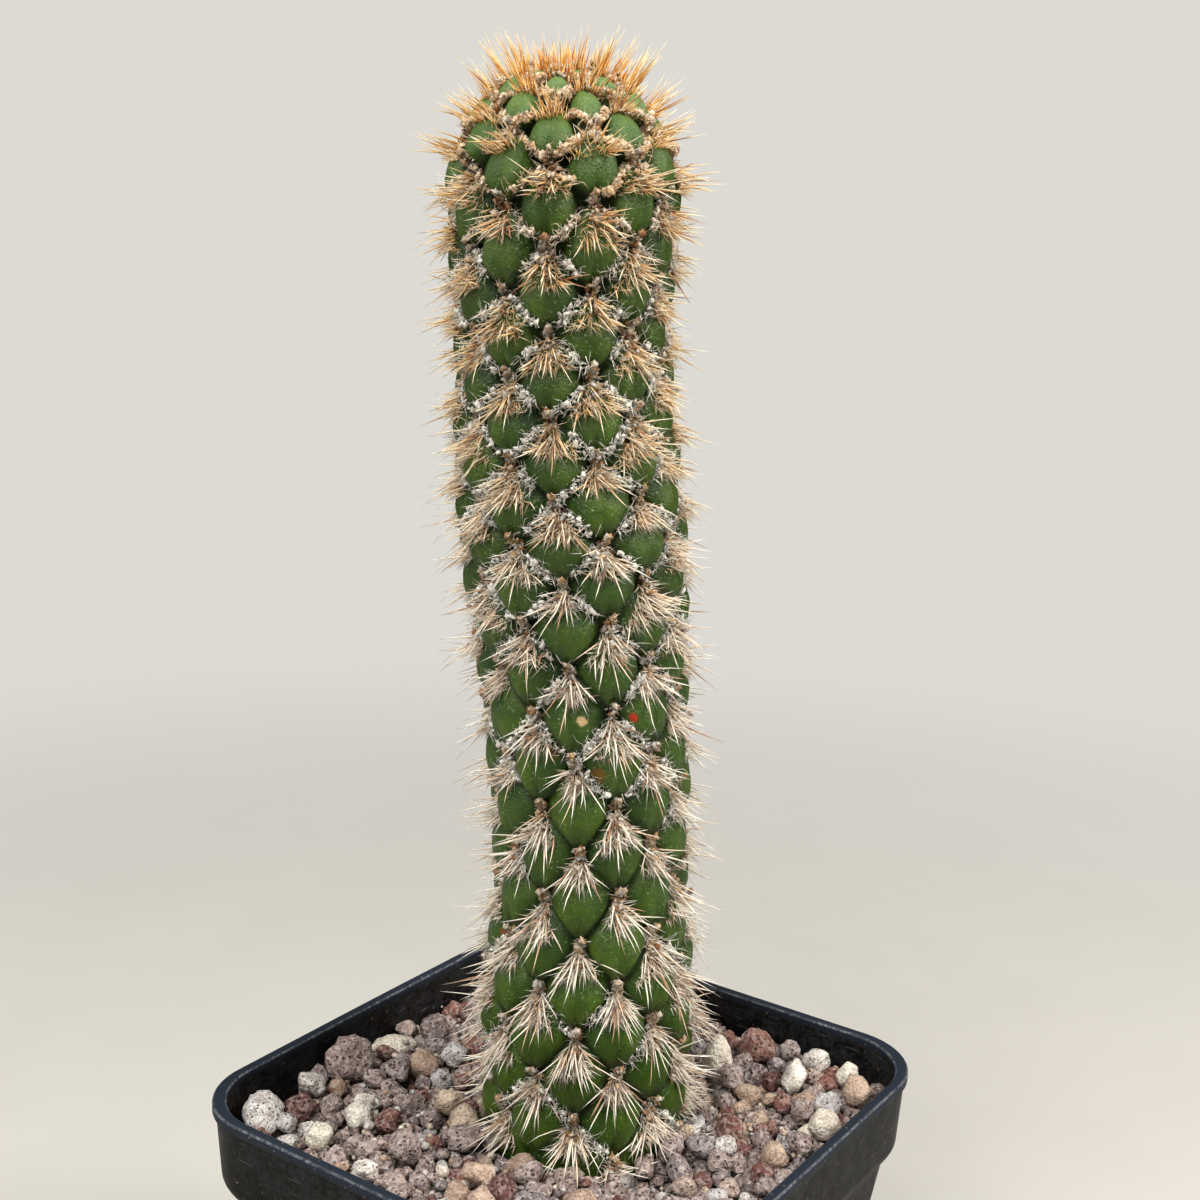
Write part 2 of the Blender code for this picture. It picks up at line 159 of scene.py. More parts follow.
# Many closed round fibres at once, each ending in a point. Paths are (fibres, rings, 3),
# radii (fibres, rings), and lump is the size and depth of the bumps on thick ones
def makeFibres(paths, radii, sides, values, lump=None):
    count, rings = radii.shape
    # A path with one place more than it has radii ends there in its point
    along = unit(np.gradient(paths, axis=1))
    tips = paths[:, rings:]
    if not tips.size:  # the others end a little past their last ring
        tips = paths[:, -1:] + along[:, -1:] * radii[:, -1:, None] * 1.6
    along, paths = along[:, :rings], paths[:, :rings]
    helper = np.zeros((count, 1, 3))
    least = np.argmin(np.abs(along[:, rings // 2]), axis=1)
    helper[np.arange(count), 0, least] = 1
    aside = unit(np.cross(along, helper))
    above = np.cross(along, aside)
    turns = np.arange(sides) * tau / sides
    outward = (
        aside[:, :, None] * np.cos(turns)[:, None]
        + above[:, :, None] * np.sin(turns)[:, None]
    )
    places = paths[:, :, None] + outward * radii[:, :, None, None]
    if lump:  # broad bumps, with finer ones over them
        size, depth = lump
        bump = grain(places, size) + 0.5 * grain(places, size / 2.3, 7.7)
        places += outward * (bump * depth)[..., None]
    body = rings * sides
    places = np.concatenate((places.reshape(count, body, 3), tips), axis=1)
    ringStarts = np.arange(rings) * sides
    quads = joinRings(ringStarts[:-1], ringStarts[1:], sides)
    # A fan closes the root, and triangles meet in the tip
    fan = np.arange(1, sides - 1)
    ring = np.arange(sides)
    top = body - sides
    triangles = np.concatenate((
        np.stack((0 * fan, fan + 1, fan), axis=-1),
        np.stack((top + ring, top + (ring + 1) % sides, np.full(sides, body)), axis=-1),
    ))
    starts = np.arange(count)[:, None, None] * (body + 1)
    quads = (quads[None] + starts).reshape(-1, 4)
    triangles = (triangles[None] + starts).reshape(-1, 3)
    # tone runs from 0 at the root to 1 at the tip
    tone = np.concatenate((np.repeat(np.linspace(0, 1, rings + 1)[:-1], sides), (1,)))
    given = {key: np.repeat(value, body + 1) for key, value in values.items()}
    given["tone"] = np.tile(tone, count)
    return places.reshape(-1, 3), quads, triangles, given


def iceSphere(level):
    bm = bmesh.new()
    bmesh.ops.create_icosphere(bm, subdivisions=level, radius=1)
    places = np.array([vert.co[:] for vert in bm.verts])
    triangles = np.array([[vert.index for vert in face.verts] for face in bm.faces])
    bm.free()
    return places, triangles


# Several lists of places, quads, triangles and values as one
def joinParts(parts):
    places, quads, triangles, values = zip(*parts)
    starts = np.cumsum([0] + [len(part) for part in places])
    return (
        np.concatenate(places),
        np.concatenate([part + start for part, start in zip(quads, starts)]),
        np.concatenate([part + start for part, start in zip(triangles, starts)]),
        {key: np.concatenate([part[key] for part in values]) for key in values[0]},
    )


# Nodes. A colour is a node's socket, or red, green and blue from 0 to 255 as the screen
# shows them, and a number is a socket or a plain one

def isSocket(value):
    return isinstance(value, bpy.types.NodeSocket)


def tint(colour):
    return (*((channel / 255) ** 2.2 for channel in colour), 1)


# A node with its inputs set or linked, in the tree that home is or belongs to
def put(home, kind, inputs=None, **settings):
    tree = home.id_data
    node = tree.nodes.new("ShaderNode" + kind)
    for key, value in settings.items():
        setattr(node, key, value)
    for key, value in (inputs or {}).items():
        if isSocket(value):
            tree.links.new(value, node.inputs[key])
        else:
            node.inputs[key].default_value = value
    return node


# Sockets of a node by name, with _ for a space: linked, or set to a constant
def feed(node, **sockets):
    for key, value in sockets.items():
        socket = node.inputs[key.replace("_", " ")]
        if isSocket(value):
            node.id_data.links.new(value, socket)
        else:
            socket.default_value = value


def reckon(operation, first, second=0.0, third=0.0):
    home = first if isSocket(first) else second
    return put(home, "Math", {0: first, 1: second, 2: third}, operation=operation).outputs[0]


def multiply(first, second):
    return reckon("MULTIPLY", first, second)


# A mask from 0 to 1 that is made to run over this span from this base
def spanned(mask, span, base):
    return reckon("MULTIPLY_ADD", mask, span, base)


# The share of the way from low to high, softly
def between(value, low, high):
    inputs = {"Value": value, "From Min": low, "From Max": high}
    return put(value, "MapRange", inputs, interpolation_type="SMOOTHSTEP").outputs[0]


def blendColours(share, first, second, mode="MIX"):
    home = share if isSocket(share) else first
    inputs = {0: share, 6: first, 7: second}
    for key in (6, 7):
        inputs[key] = inputs[key] if isSocket(inputs[key]) else tint(inputs[key])
    return put(home, "Mix", inputs, data_type="RGBA", blend_type=mode).outputs[2]


# Another colour over the first where the mask is, no stronger than given
def coat(colour, mask, dye, strength):
    return blendColours(multiply(mask, strength), colour, dye)


def colourRamp(place, stops):
    node = put(place, "ValToRGB", {0: place})
    for spare in range(len(stops) - 2):
        node.color_ramp.elements.new(0.5)
    for element, (position, colour) in zip(node.color_ramp.elements, stops):
        element.position = position
        element.color = tint(colour)
    return node.outputs[0]


# Values stored at the vertices, by name
def readValues(home, *names):
    return [put(home, "Attribute", attribute_name=name).outputs["Fac"] for name in names]


def startGroup(name, inputs, outputs):
    group = bpy.data.node_groups.new(name, "ShaderNodeTree")
    group.interface.new_socket("Place", in_out="INPUT", socket_type="NodeSocketVector")
    for key, value in inputs.items():
        socket = group.interface.new_socket(key, in_out="INPUT", socket_type="NodeSocketFloat")
        socket.default_value = value
    for key in outputs:
        group.interface.new_socket(key, in_out="OUTPUT", socket_type="NodeSocketFloat")
    return group, group.nodes.new("NodeGroupInput").outputs


def finishGroup(group, **outputs):
    feed(group.nodes.new("NodeGroupOutput"), **outputs)
    return group


# Soft cloudy patches over finer ones, 0 to 1
def makeMottleGroup():
    group, given = startGroup("mottle", {"Scale": 100.0, "Fine": 0.35}, ["Patches"])
    place, scale = given["Place"], given["Scale"]
    wide = put(group, "TexNoise", {"Vector": place, "Scale": scale, "Detail": 2.0})
    close = put(group, "TexNoise", {"Vector": place, "Scale": multiply(scale, 5.3), "Detail": 4.0})
    mixed = put(group, "Mix", {0: given["Fine"], 2: wide.outputs[0], 3: close.outputs[0]})
    return finishGroup(group, Patches=between(mixed.outputs[0], 0.34, 0.66))


# Scattered small spots: dust, pale pores, grit. Amount is the share of cells that has one
def makeSpeckleGroup():
    group, given = startGroup("speckle", {"Scale": 1000.0, "Size": 0.25, "Amount": 0.4}, ["Spots"])
    place, scale = given["Place"], given["Scale"]
    stir = put(group, "TexNoise", {"Vector": place, "Scale": scale, "Detail": 1.0})
    cells = put(group, "TexVoronoi", {"Vector": place, "Scale": scale})
    reach = spanned(stir.outputs[0], 0.4, cells.outputs["Distance"])
    near = between(reckon("SUBTRACT", reach, 0.2), given["Size"], 0.0)
    chosen = reckon("LESS_THAN", cells.outputs["Color"], given["Amount"])
    return finishGroup(group, Spots=multiply(near, chosen))


# Rough broken stone: open pits, with a height that dips into them
def makePitsGroup():
    group, given = startGroup("pits", {"Scale": 1200.0, "Open": 0.5}, ["Pits", "Height"])
    place, scale = given["Place"], given["Scale"]
    warp = put(group, "TexNoise", {"Vector": place, "Scale": scale, "Detail": 3.0})
    # The cells are pulled about, so that no two pits are alike
    inputs = {0: warp.outputs["Color"], 1: reckon("DIVIDE", 0.9, scale), 2: place}
    pulled = put(group, "VectorMath", inputs, operation="MULTIPLY_ADD")
    cells = put(group, "TexVoronoi", {"Vector": pulled.outputs[0], "Scale": scale})
    hollow = between(cells.outputs["Distance"], given["Open"], 0.05)
    veiled = multiply(hollow, between(warp.outputs[0], 0.42, 0.6))
    return finishGroup(group, Pits=veiled, Height=reckon("SUBTRACT", warp.outputs[0], veiled))


groups = {"mottle": makeMottleGroup(), "speckle": makeSpeckleGroup(), "pits": makePitsGroup()}


def startMaterial(name, **constants):
    material = bpy.data.materials.new(name)
    material.use_nodes = True
    shader = material.node_tree.nodes["Principled BSDF"]
    feed(shader, **constants)
    return material, shader, put(shader, "TexCoord").outputs["Object"]


def callGroup(name, place, **values):
    return put(place, "Group", {"Place": place, **values}, node_tree=groups[name]).outputs


def mottle(place, scale, fine):
    return callGroup("mottle", place, Scale=scale, Fine=fine)["Patches"]


def speckle(place, scale, size, amount):
    return callGroup("speckle", place, Scale=scale, Size=size, Amount=amount)["Spots"]


def pits(place, scale, openness):
    outputs = callGroup("pits", place, Scale=scale, Open=openness)
    return outputs["Pits"], outputs["Height"]


def addBump(shader, height, strength, distance):
    bump = put(shader, "Bump", {"Height": height, "Strength": strength, "Distance": distance})
    feed(shader, Normal=bump.outputs[0])


# Camera, floor and light

photoView = {
    "place": (170.25 * mm, -239.71 * mm, 251.1 * mm),
    "heading": (-0.5558, 0.7997, -0.2272),
    "roll": radians(1.69),
    "lens": 51.3,
    "sensor": 36,
}


def placeCamera():
    lens = bpy.data.cameras.new("photoCamera")
    lens.sensor_width = photoView["sensor"]
    lens.lens = photoView["lens"]
    lens.clip_start = 10 * mm
    camera = addObject("photoCamera", lens)
    aim = Vector(photoView["heading"]).to_track_quat("-Z", "Y")
    camera.rotation_mode = "QUATERNION"
    camera.rotation_quaternion = aim @ Quaternion((0, 0, 1), photoView["roll"])
    camera.location = photoView["place"]
    bpy.context.scene.camera = camera


studio = {
    "floorHalf": 3.0,
    "floorFade": (0.22, 0.66),  # where the floor melts into the pale studio
    "floorTints": ((196, 194, 190), (199, 197, 193)),
    "studioTint": (220, 217, 211),  # as the camera sees it
    # what lights the plant, from level to high overhead
    "worldTints": ((0.0, (118, 116, 112)), (0.8, (252, 249, 242))),
    "worldStrength": 0.24,
    # name, place, target, breadth, power in watts, tint
    "lights": (
        ("overheadLight", (0.10, -0.56, 0.90), (0, 0, 0.16), 0.5, 9.4, (255, 252, 245)),
        ("rightLight", (0.72, 0.30, 0.78), (0, 0, 0.12), 0.4, 10.5, (255, 250, 240)),
        ("leftLight", (-0.75, -0.45, 0.50), (0, 0, 0.16), 0.45, 2.4, (255, 252, 246)),
    ),
}


def makeFloor():
    material, shader, place = startMaterial("paleFloor", Roughness=0.7)
    colour = blendColours(mottle(place, 6.0, 0.5), *studio["floorTints"])
    far = put(place, "VectorMath", {0: place}, operation="LENGTH").outputs["Value"]
    near, gone = studio["floorFade"]
    feed(shader, Base_Color=colour, Alpha=between(far, gone, near))
    half = studio["floorHalf"]
    mesh = bpy.data.meshes.new("floor")
    corners = ((-half, -half, 0), (half, -half, 0), (half, half, 0), (-half, half, 0))
    mesh.from_pydata(corners, [], [(0, 1, 2, 3)])
    mesh.materials.append(material)
    floor = addObject("floor", mesh)
    floor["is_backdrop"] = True


def lightStudio():
    world = bpy.data.worlds.new("paleStudio")
    world.use_nodes = True
    tree = world.node_tree
    background = tree.nodes["Background"]
    heading = put(tree, "SeparateXYZ", {0: put(tree, "TexCoord").outputs["Generated"]})
    colour = colourRamp(heading.outputs["Z"], studio["worldTints"])
    feed(background, Color=colour, Strength=studio["worldStrength"])
    seen = put(tree, "Background", {"Color": tint(studio["studioTint"])})
    byCamera = put(tree, "LightPath").outputs["Is Camera Ray"]
    picked = put(tree, "MixShader", {0: byCamera, 1: background.outputs[0], 2: seen.outputs[0]})
    feed(tree.nodes["World Output"], Surface=picked.outputs[0])
    bpy.context.scene.world = world
    bpy.context.scene.view_settings.view_transform = "Standard"
    for name, place, target, breadth, power, colour in studio["lights"]:
        lamp = bpy.data.lights.new(name, "AREA")
        lamp.shape = "DISK"
        lamp.size = breadth
        lamp.energy = power
        lamp.color = tint(colour)[:3]
        light = addObject(name, lamp)
        light.location = place
        light.rotation_euler = (Vector(target) - Vector(place)).to_track_quat("-Z", "Y").to_euler()


# Stem: the lattice of tubercles, as in the CAD source

stem = {
    "offset": 2.8 * mm,
    "leanBack": 8 * mm,
    "leanFrom": 35 * mm,
    "leanOver": 120 * mm,
    "leanHeading": radians(34.8),
    "footTop": -10 * mm,
    "footBottom": -45 * mm,
    "girths": (
        (-10 * mm, 17.6 * mm),
        (-3 * mm, 19.6 * mm),
        (14 * mm, 20.0 * mm),
        (45 * mm, 18.2 * mm),
        (75 * mm, 18.8 * mm),
        (105 * mm, 20.3 * mm),
        (138 * mm, 18.8 * mm),
        (163 * mm, 19.8 * mm),
    ),
    "domeHeight": 18 * mm,
    "step": 0.5 * mm,
    "crownRadius": 4.5 * mm,
    "columns": 15,
    "rising": 8,
    "falling": 7,
    "firstHeading": radians(-61.2),
    "firstHeight": 17.4 * mm,
    "lowPitch": 16.7 * mm,
    "highPitch": 13.7 * mm,
    "pitchFrom": 70 * mm,
    "pitchOver": 35 * mm,
    "depth": 3.3 * mm,
    "valley": 0.2 * mm,  # how much deeper the finer skin's valleys are than the CAD's
    "depthOver": 9 * mm,
    "domeFull": 15 * mm,
    "domePower": 0.7,
    "sag": 0.62,
    "plumpness": 0.6,
    # how far a tubercle is an upright oval pillow in its diamond, and how broad, by rise:
    # narrower near the crown, where wool fills the grooves
    "ovalShare": ((6.0, 0.3), (8.5, 0.5), (10.5, 0.85)),
    "ovalBreadth": ((4.0, 0.8), (8.0, 0.7), (10.3, 0.58)),
    "ovalSag": 0.72,
    "ovalFlatness": 3,  # of its top
    "ovalPlumpness": 0.6,
    "shoulder": 1.9 * mm,  # the youngest tubercles stand proud round the crown
    "shoulderRise": 11.75,
    "shoulderOver": 0.75,
}
domeFoot, domeRadius = stem["girths"][-1]
stemTop = domeFoot + stem["domeHeight"]


def stemAxis(height):
    offset = stem["offset"] - stem["leanBack"] * smooth((height - stem["leanFrom"]) / stem["leanOver"])
    heading = stem["leanHeading"]
    return np.stack((offset * cos(heading), offset * sin(heading), rimHeight + height), axis=-1)


def stemGirth(height):
    girths = stem["girths"]
    for (low, narrow), (high, wide) in zip(girths, girths[1:]):
        if height <= high:
            return narrow + (wide - narrow) * smooth((height - low) / (high - low))
    return girths[-1][1]


# Stations (rise, radius, height, slope of the normal). Rise counts tubercles up a column
def makeOutline():
    step = stem["step"]
    stations = []
    rise = 0.0
    height = stem["footTop"] - stem["lowPitch"]
    while height < domeFoot:
        stations.append((rise, stemGirth(height), height, 0.0))
        change = smooth((height - stem["pitchFrom"]) / stem["pitchOver"])
        rise += step / (stem["lowPitch"] + (stem["highPitch"] - stem["lowPitch"]) * change)
        height += step
    angle = 0.0
    while domeRadius * cos(angle) > stem["crownRadius"] / 2:
        radius = domeRadius * cos(angle)
        stations.append((rise, radius, domeFoot + stem["domeHeight"] * sin(angle), angle))
        rise += step / (stem["highPitch"] * radius / domeRadius)
        angle += step / hypot(domeRadius * sin(angle), stem["domeHeight"] * cos(angle))
    first = next(station[0] for station in stations if station[2] >= stem["firstHeight"])
    return np.array([(rise - first, *rest) for rise, *rest in stations])


outline = makeOutline()
footRise = outline[0, 0]
crownRise = next(
    rise for rise, radius, height, slope in outline if slope > 0 and radius < stem["crownRadius"]
)
crownPlace = stemAxis(stemTop)


# How far to the right and how far up a place lies in its own diamond
def insideDiamond(across, along):
    right, left = across - np.floor(across), along - np.floor(along)
    return right - left, (right + left) / 2


# The skin where across and along count diamonds on the two crossing spirals, with the
# areoles at whole numbers: places, outward normals and how far each tubercle swells
def skinAt(across, along):
    rise = (stem["rising"] * across + stem["falling"] * along) / stem["columns"]
    heading = stem["firstHeading"] + (across - along) * tau / stem["columns"]
    radius, height, slope = (np.interp(rise, outline[:, 0], outline[:, i]) for i in (1, 2, 3))
    swell = np.ones_like(rise)
    for place in (across, along):
        swell = swell * np.sin(pi * (place - np.floor(place)) ** stem["sag"])
    swell = np.maximum(swell, 0) ** stem["plumpness"]
    rightward, upward = insideDiamond(across, along)
    breadth, ovalShare = (np.interp(rise, *zip(*stem[key])) for key in ("ovalBreadth", "ovalShare"))
    reach = np.hypot(rightward / breadth, 2 * upward ** stem["ovalSag"] - 1)
    oval = (1 - np.minimum(reach, 1) ** stem["ovalFlatness"]) ** stem["ovalPlumpness"]
    swell = swell + ovalShare * (oval - swell)
    rooted = smooth((height - stem["footTop"]) / stem["depthOver"])
    depth = (stem["depth"] + stem["valley"]) * rooted
    depth = depth * np.minimum(1, radius / stem["domeFull"]) ** stem["domePower"]
    proud = stem["shoulder"] * np.exp(-(((rise - stem["shoulderRise"]) / stem["shoulderOver"]) ** 2))
    outward = levelHeadings(heading)
    normals = outward * np.cos(slope)[..., None] + zUp * np.sin(slope)[..., None]
    sunk = depth * (1 - swell) - proud * swell
    places = stemAxis(height) + outward * radius[..., None] - normals * sunk[..., None]
    return places, normals, swell


skinLook = {
    "cuts": 13,  # across one tubercle
    "cutEvenness": 0.45,  # 0 crowds the cuts in the grooves
    "notchDepth": 1.3 * mm,  # over the areole below
    "notchWidth": 0.1,
    "notchTop": 0.5,  # the share of a tubercle's height where it ends
    "notchFade": 0.4,
    "dents": ((6 * mm, 0.28 * mm), (1.7 * mm, 0.1 * mm)),
    "grooveDents": 0.3,  # as a share of those on the crest
    "uneven": 0.5 * mm,
    "footEdge": 0.2 * mm,  # over the foot's top, where the relief starts
    "seed": 5,
    "chances": 4096,  # drawn once, and given to the tubercles in turn
    # colours up the stem, and what lies over them: a colour, and how strong at the most. The crest's is a
    # painted highlight on the tubercles' tops, and the groove's is painted shade down in the grooves
    "dyes": (
        (0.0, (52, 80, 4)),
        (0.3, (42, 70, 2)),
        (0.75, (34, 58, 4)),
        (0.88, (42, 68, 18)),
        # the paler stops at the crown are partly its young growth, partly a painted highlight on the top
        # pillows
        (0.95, (62, 92, 42)),
        (1.0, (116, 148, 94)),
    ),
    "lively": ((88, 112, 14), 0.7),
    "bloom": ((28, 60, 30), 0.3),
    # painted highlight: a lighter green on the tubercles' crests
    "crest": ((92, 122, 34), 0.2),
    # painted shade: a dark green down in the grooves between the tubercles
    "groove": ((20, 38, 10), 0.8),
    "pores": ((164, 190, 128), 0.42),
    # scars and spots: place in mm, radius in mm, colour, strength
    "marks": (
        ((9.1, -14.9, 169.3), 0.75, (206, 178, 138), 1.0),
        ((10.8, -14.5, 165.7), 0.75, (200, 168, 126), 1.0),
        ((16.6, -7.5, 165.8), 0.7, (184, 36, 16), 0.9),
        ((19.9, -2.4, 119.9), 1.5, (96, 34, 12), 0.85),
        ((13.1, -12.6, 156.0), 1.2, (140, 76, 20), 0.5),
        ((16.4, -9.0, 159.5), 1.5, (120, 70, 22), 0.5),
        ((6.1, -15.4, 159.6), 1.1, (106, 76, 28), 0.5),
        ((-13.2, -13.5, 172.4), 1.1, (196, 168, 126), 0.8),
        ((-5.6, -13.6, 122.5), 1.0, (120, 62, 26), 0.8),
        ((17.7, -0.6, 124.2), 0.5, (226, 208, 170), 1.0),
    ),
    "markEdge": (1.4, 0.7),  # where a mark starts and is full, as shares of its radius
    "markRagged": 0.6 * mm,
}


# A chance value for each side of each tubercle, left and right
def tubercleChance(across, along):
    total = skinLook["chances"]
    table = spread(random.Random(skinLook["seed"]), 0, 1, total)
    index = np.floor(across) * stem["rising"] + np.floor(along) * stem["falling"]
    index = index + np.floor(across - along) * 31  # a stride that parts the two sides
    return table[np.mod(index, total).astype(int)]


def makeSkin(material):
    cuts = skinLook["cuts"]
    even = skinLook["cutEvenness"]
    steps = np.arange(cuts) / cuts
    stops = even * steps + (1 - even) * (0.5 - 0.5 * np.cos(pi * steps))
    columns, rising, falling = stem["columns"], stem["rising"], stem["falling"]

    def gridPlace(index):
        return index // cuts + stops[index % cuts]

    bm = bmesh.new()
    acrossLayer = bm.verts.layers.float.new("across")
    alongLayer = bm.verts.layers.float.new("along")
    verts = {}
    for across in range(falling * cuts):
        acrossPlace = gridPlace(across)
        first = int((footRise * columns - rising * acrossPlace) / falling) - 1
        last = int((crownRise * columns - rising * acrossPlace) / falling) + 2
        alongs = np.arange(first * cuts, last * cuts + 1)
        alongPlaces = gridPlace(alongs)
        rises = (rising * acrossPlace + falling * alongPlaces) / columns
        kept = (rises >= footRise) & (rises <= crownRise)
        alongs, alongPlaces = alongs[kept], alongPlaces[kept]
        places = skinAt(np.full(len(alongs), acrossPlace), alongPlaces)[0]
        for along, alongPlace, place in zip(alongs.tolist(), alongPlaces.tolist(), places.tolist()):
            vert = bm.verts.new(place)
            vert[acrossLayer] = acrossPlace
            vert[alongLayer] = alongPlace
            verts[across, along] = vert

    # The grid meets itself round the stem: 7 diamonds across are 8 back along
    def corner(across, along):
        turns = across // (falling * cuts)
        return verts.get((across - turns * falling * cuts, along + turns * rising * cuts))

    for across, along in list(verts):
        square = [corner(across + right, along + up) for right, up in ((0, 0), (1, 0), (1, 1), (0, 1))]
        if all(square):
            bm.faces.new(square)
    loose = [vert for vert in bm.verts if not vert.link_faces]
    bmesh.ops.delete(bm, geom=loose, context="VERTS")
    top = [edge for edge in bm.edges if edge.is_boundary and edge.verts[0].co.z > rimHeight]
    cap = bmesh.ops.contextual_create(bm, geom=top)["faces"]
    apex = bmesh.ops.poke(bm, faces=cap)["verts"][0]
    apex.co = crownPlace
    # The buried foot, cut square and drawn down plain
    cut = bmesh.ops.bisect_plane(
        bm,
        geom=bm.verts[:] + bm.edges[:] + bm.faces[:],
        plane_co=(0, 0, rimHeight + stem["footTop"]),
        plane_no=(0, 0, 1),
        clear_inner=True,
    )["geom_cut"]
    edges = [item for item in cut if isinstance(item, bmesh.types.BMEdge)]
    foot = bmesh.ops.extrude_edge_only(bm, edges=edges)["geom"]
    ring = [item for item in foot if isinstance(item, bmesh.types.BMVert)]
    bmesh.ops.translate(bm, verts=ring, vec=(0, 0, stem["footBottom"] - stem["footTop"]))
    edges = [item for item in foot if isinstance(item, bmesh.types.BMEdge)]
    bmesh.ops.contextual_create(bm, geom=edges)
    bmesh.ops.recalc_face_normals(bm, faces=bm.faces)
    mesh = finishMesh("stemSkin", bm)

    # Fine relief, and the values that the material reads
    count = len(mesh.vertices)
    across, along, flat = np.empty(count), np.empty(count), np.empty(count * 3)
    for key, values in (("across", across), ("along", along)):
        mesh.attributes[key].data.foreach_get("value", values)
        mesh.attributes.remove(mesh.attributes[key])
    mesh.vertices.foreach_get("co", flat)
    places = flat.reshape(-1, 3)
    normals, swell = skinAt(across, along)[1:]
    right, up = insideDiamond(across, along)
    notch = np.exp(-((right / skinLook["notchWidth"]) ** 2))
    notch = notch * smooth((skinLook["notchTop"] - up) / skinLook["notchFade"])
    shift = -skinLook["notchDepth"] * notch * swell**0.5
    chance = tubercleChance(across, along)
    shift = shift + (chance - 0.5) * skinLook["uneven"] * swell
    least = skinLook["grooveDents"]
    for size, depth in skinLook["dents"]:
        shift = shift + depth * grain(places, size) * (least + (1 - least) * swell)
    buried = places[:, 2] < rimHeight + stem["footTop"] + skinLook["footEdge"]
    shift[buried] = 0
    places = places + normals * shift[:, None]
    mesh.vertices.foreach_set("co", places.ravel())
    rise = (places[:, 2] - rimHeight) / stemTop
    storeValues(mesh, {"swell": swell, "rise": rise, "chance": chance})
    mesh.update()
    mesh.shade_smooth()
    piece = placePiece("stemSkin", mesh, material)
    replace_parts(piece, "cereus")


def makeSkinMaterial():
    material, shader, place = startMaterial("waxySkin", Specular_IOR_Level=0.45)
    swell, rise, chance = readValues(place, "swell", "rise", "chance")
    patches = mottle(place, 260.0, 0.45)
    bloom = mottle(place, 420.0, 0.6)
    fine = mottle(place, 900.0, 0.5)
    colour = colourRamp(rise, skinLook["dyes"])
    colour = coat(colour, multiply(patches, chance), *skinLook["lively"])
    colour = coat(colour, bloom, *skinLook["bloom"])
    # Painted highlight: the crests are lighter where the tubercles swell most
    colour = coat(colour, between(swell, 0.7, 1.0), *skinLook["crest"])
    # Painted shade: the grooves are darker where the swell is low
    colour = coat(colour, between(swell, 0.6, 0.1), *skinLook["groove"])
    colour = coat(colour, speckle(place, 1500.0, 0.42, 0.3), *skinLook["pores"])
    ragged = spanned(fine, skinLook["markRagged"], -skinLook["markRagged"] / 2)
    start, full = skinLook["markEdge"]
    for spot, reach, dye, strength in skinLook["marks"]:
        inputs = {0: place, 1: tuple(part * mm for part in spot)}
        away = put(place, "VectorMath", inputs, operation="DISTANCE").outputs["Value"]
        away = reckon("ADD", away, ragged)
        colour = coat(colour, between(away, reach * start * mm, reach * full * mm), dye, strength)
    feed(shader, Base_Color=colour, Roughness=spanned(patches, 0.14, 0.34))
    addBump(shader, spanned(bloom, 1.6, fine), 0.5, 0.14 * mm)
    return material


# Spines

spines = {
    "seed": 7,
    "lowest": 81.4 * mm,  # areoles under the gravel have none
    "radius": 0.175 * mm,
    "rootDepth": 0.9 * mm,
    # by the share of the stem's rises: how many long ones, how long, lift off the skin, how
    # far the fan opens each way from straight down, and how many short ones
    "shares": (0.0, 0.3, 0.5, 0.62, 0.8, 0.92, 1.0),
    "counts": (19, 15, 14, 15, 16, 13, 8),
    "lengths": (9.8 * mm, 9.4 * mm, 8.8 * mm, 8.0 * mm, 8.6 * mm, 10.0 * mm, 8.4 * mm),
    "lifts": (46, 48, 52, 54, 56, 60, 60),
    "turns": (74, 74, 76, 80, 94, 104, 90),
    "short": (150, 150, 180, 170, 100, 36, 6),
    # the patch that they stand on, as shares of a diamond: a triangle under the areole
    "patchTall": (0.38, 0.42, 0.44, 0.46, 0.46, 0.38, 0.32),
    "patchWide": (0.5, 0.5, 0.54, 0.54, 0.52, 0.4, 0.34),
    # how thick they are, beside the radius
    "stoutness": (1.0, 1.0, 1.0, 1.0, 0.95, 0.8, 0.7),
    "patchRake": 0.24,
    # how areoles differ: in growth, in the legs of the patch, and in degrees to one side
    "vigour": (0.75, 1.15),
    "legs": (0.7, 1.25),
    "lopsided": 14,
    "bend": 0.02,
    "crownLift": 80,  # the lift that all near as the skin turns upwards
    "touchdown": 83.4 * mm,  # tips never dip into the gravel
    "steepest": 0.9,  # the most that a low tip is raised
    "zoneSpread": 0.05,  # how far neighbours differ in colour
}
longSpines = {
    "stray": 13,
    "raised": (0.18, 76),  # the share that stands up, and how far
    "lengths": (0.62, 1.1),
    "sideways": 0.2,  # how much shorter at the fan's ends
    "down": (0.25, 0.9),
    "girths": (0.85, 1.15),
    "sides": 4,
    "taper": (1.0, 0.9, 0.55),
}
shortSpines = {
    "turn": 80,
    "stray": 38,
    "lengths": (1.3 * mm, 3.9 * mm),
    "lifts": (20, 82),
    "girths": (0.65, 1.05),
    "sides": 3,
    "taper": (1.0,),
}
bristles = {
    "share": 0.86,  # above it areoles have stiff dark bristles too
    "count": 9,
    "across": (-1.6, 1.6),
    "down": (-0.1, 0.5),
    "lengths": (1.6, 3.0),  # in mm
    "turns": (-170, 170),
    "lifts": (50, 88),
    "girth": 0.5,
    "zone": 0.8,  # past the stem's own, for their colour
}
tuft = {
    "count": 128,
    "reach": 9.0 * mm,
    "turnStray": 0.3,
    "rootDepth": 1.6 * mm,
    "leans": (0.1, 0.85, 1.4),  # in the middle, how much more outside, and its power
    "leanStray": 0.15,
    "sway": 0.11,
    "lengths": (5.0 * mm, 9.4 * mm),
    "top": 278.0 * mm,
    "topStray": 2.5 * mm,
    "fall": 4.5 * mm,  # how much lower its outermost tips are
    "radius": 0.12 * mm,
    "girths": (0.85, 1.2),
    "sides": 6,
    "taper": (1, 1, 0.85, 0.5),
    "zones": (1.35, 0.16),  # for its colour: in the middle, and how much lower outside
}


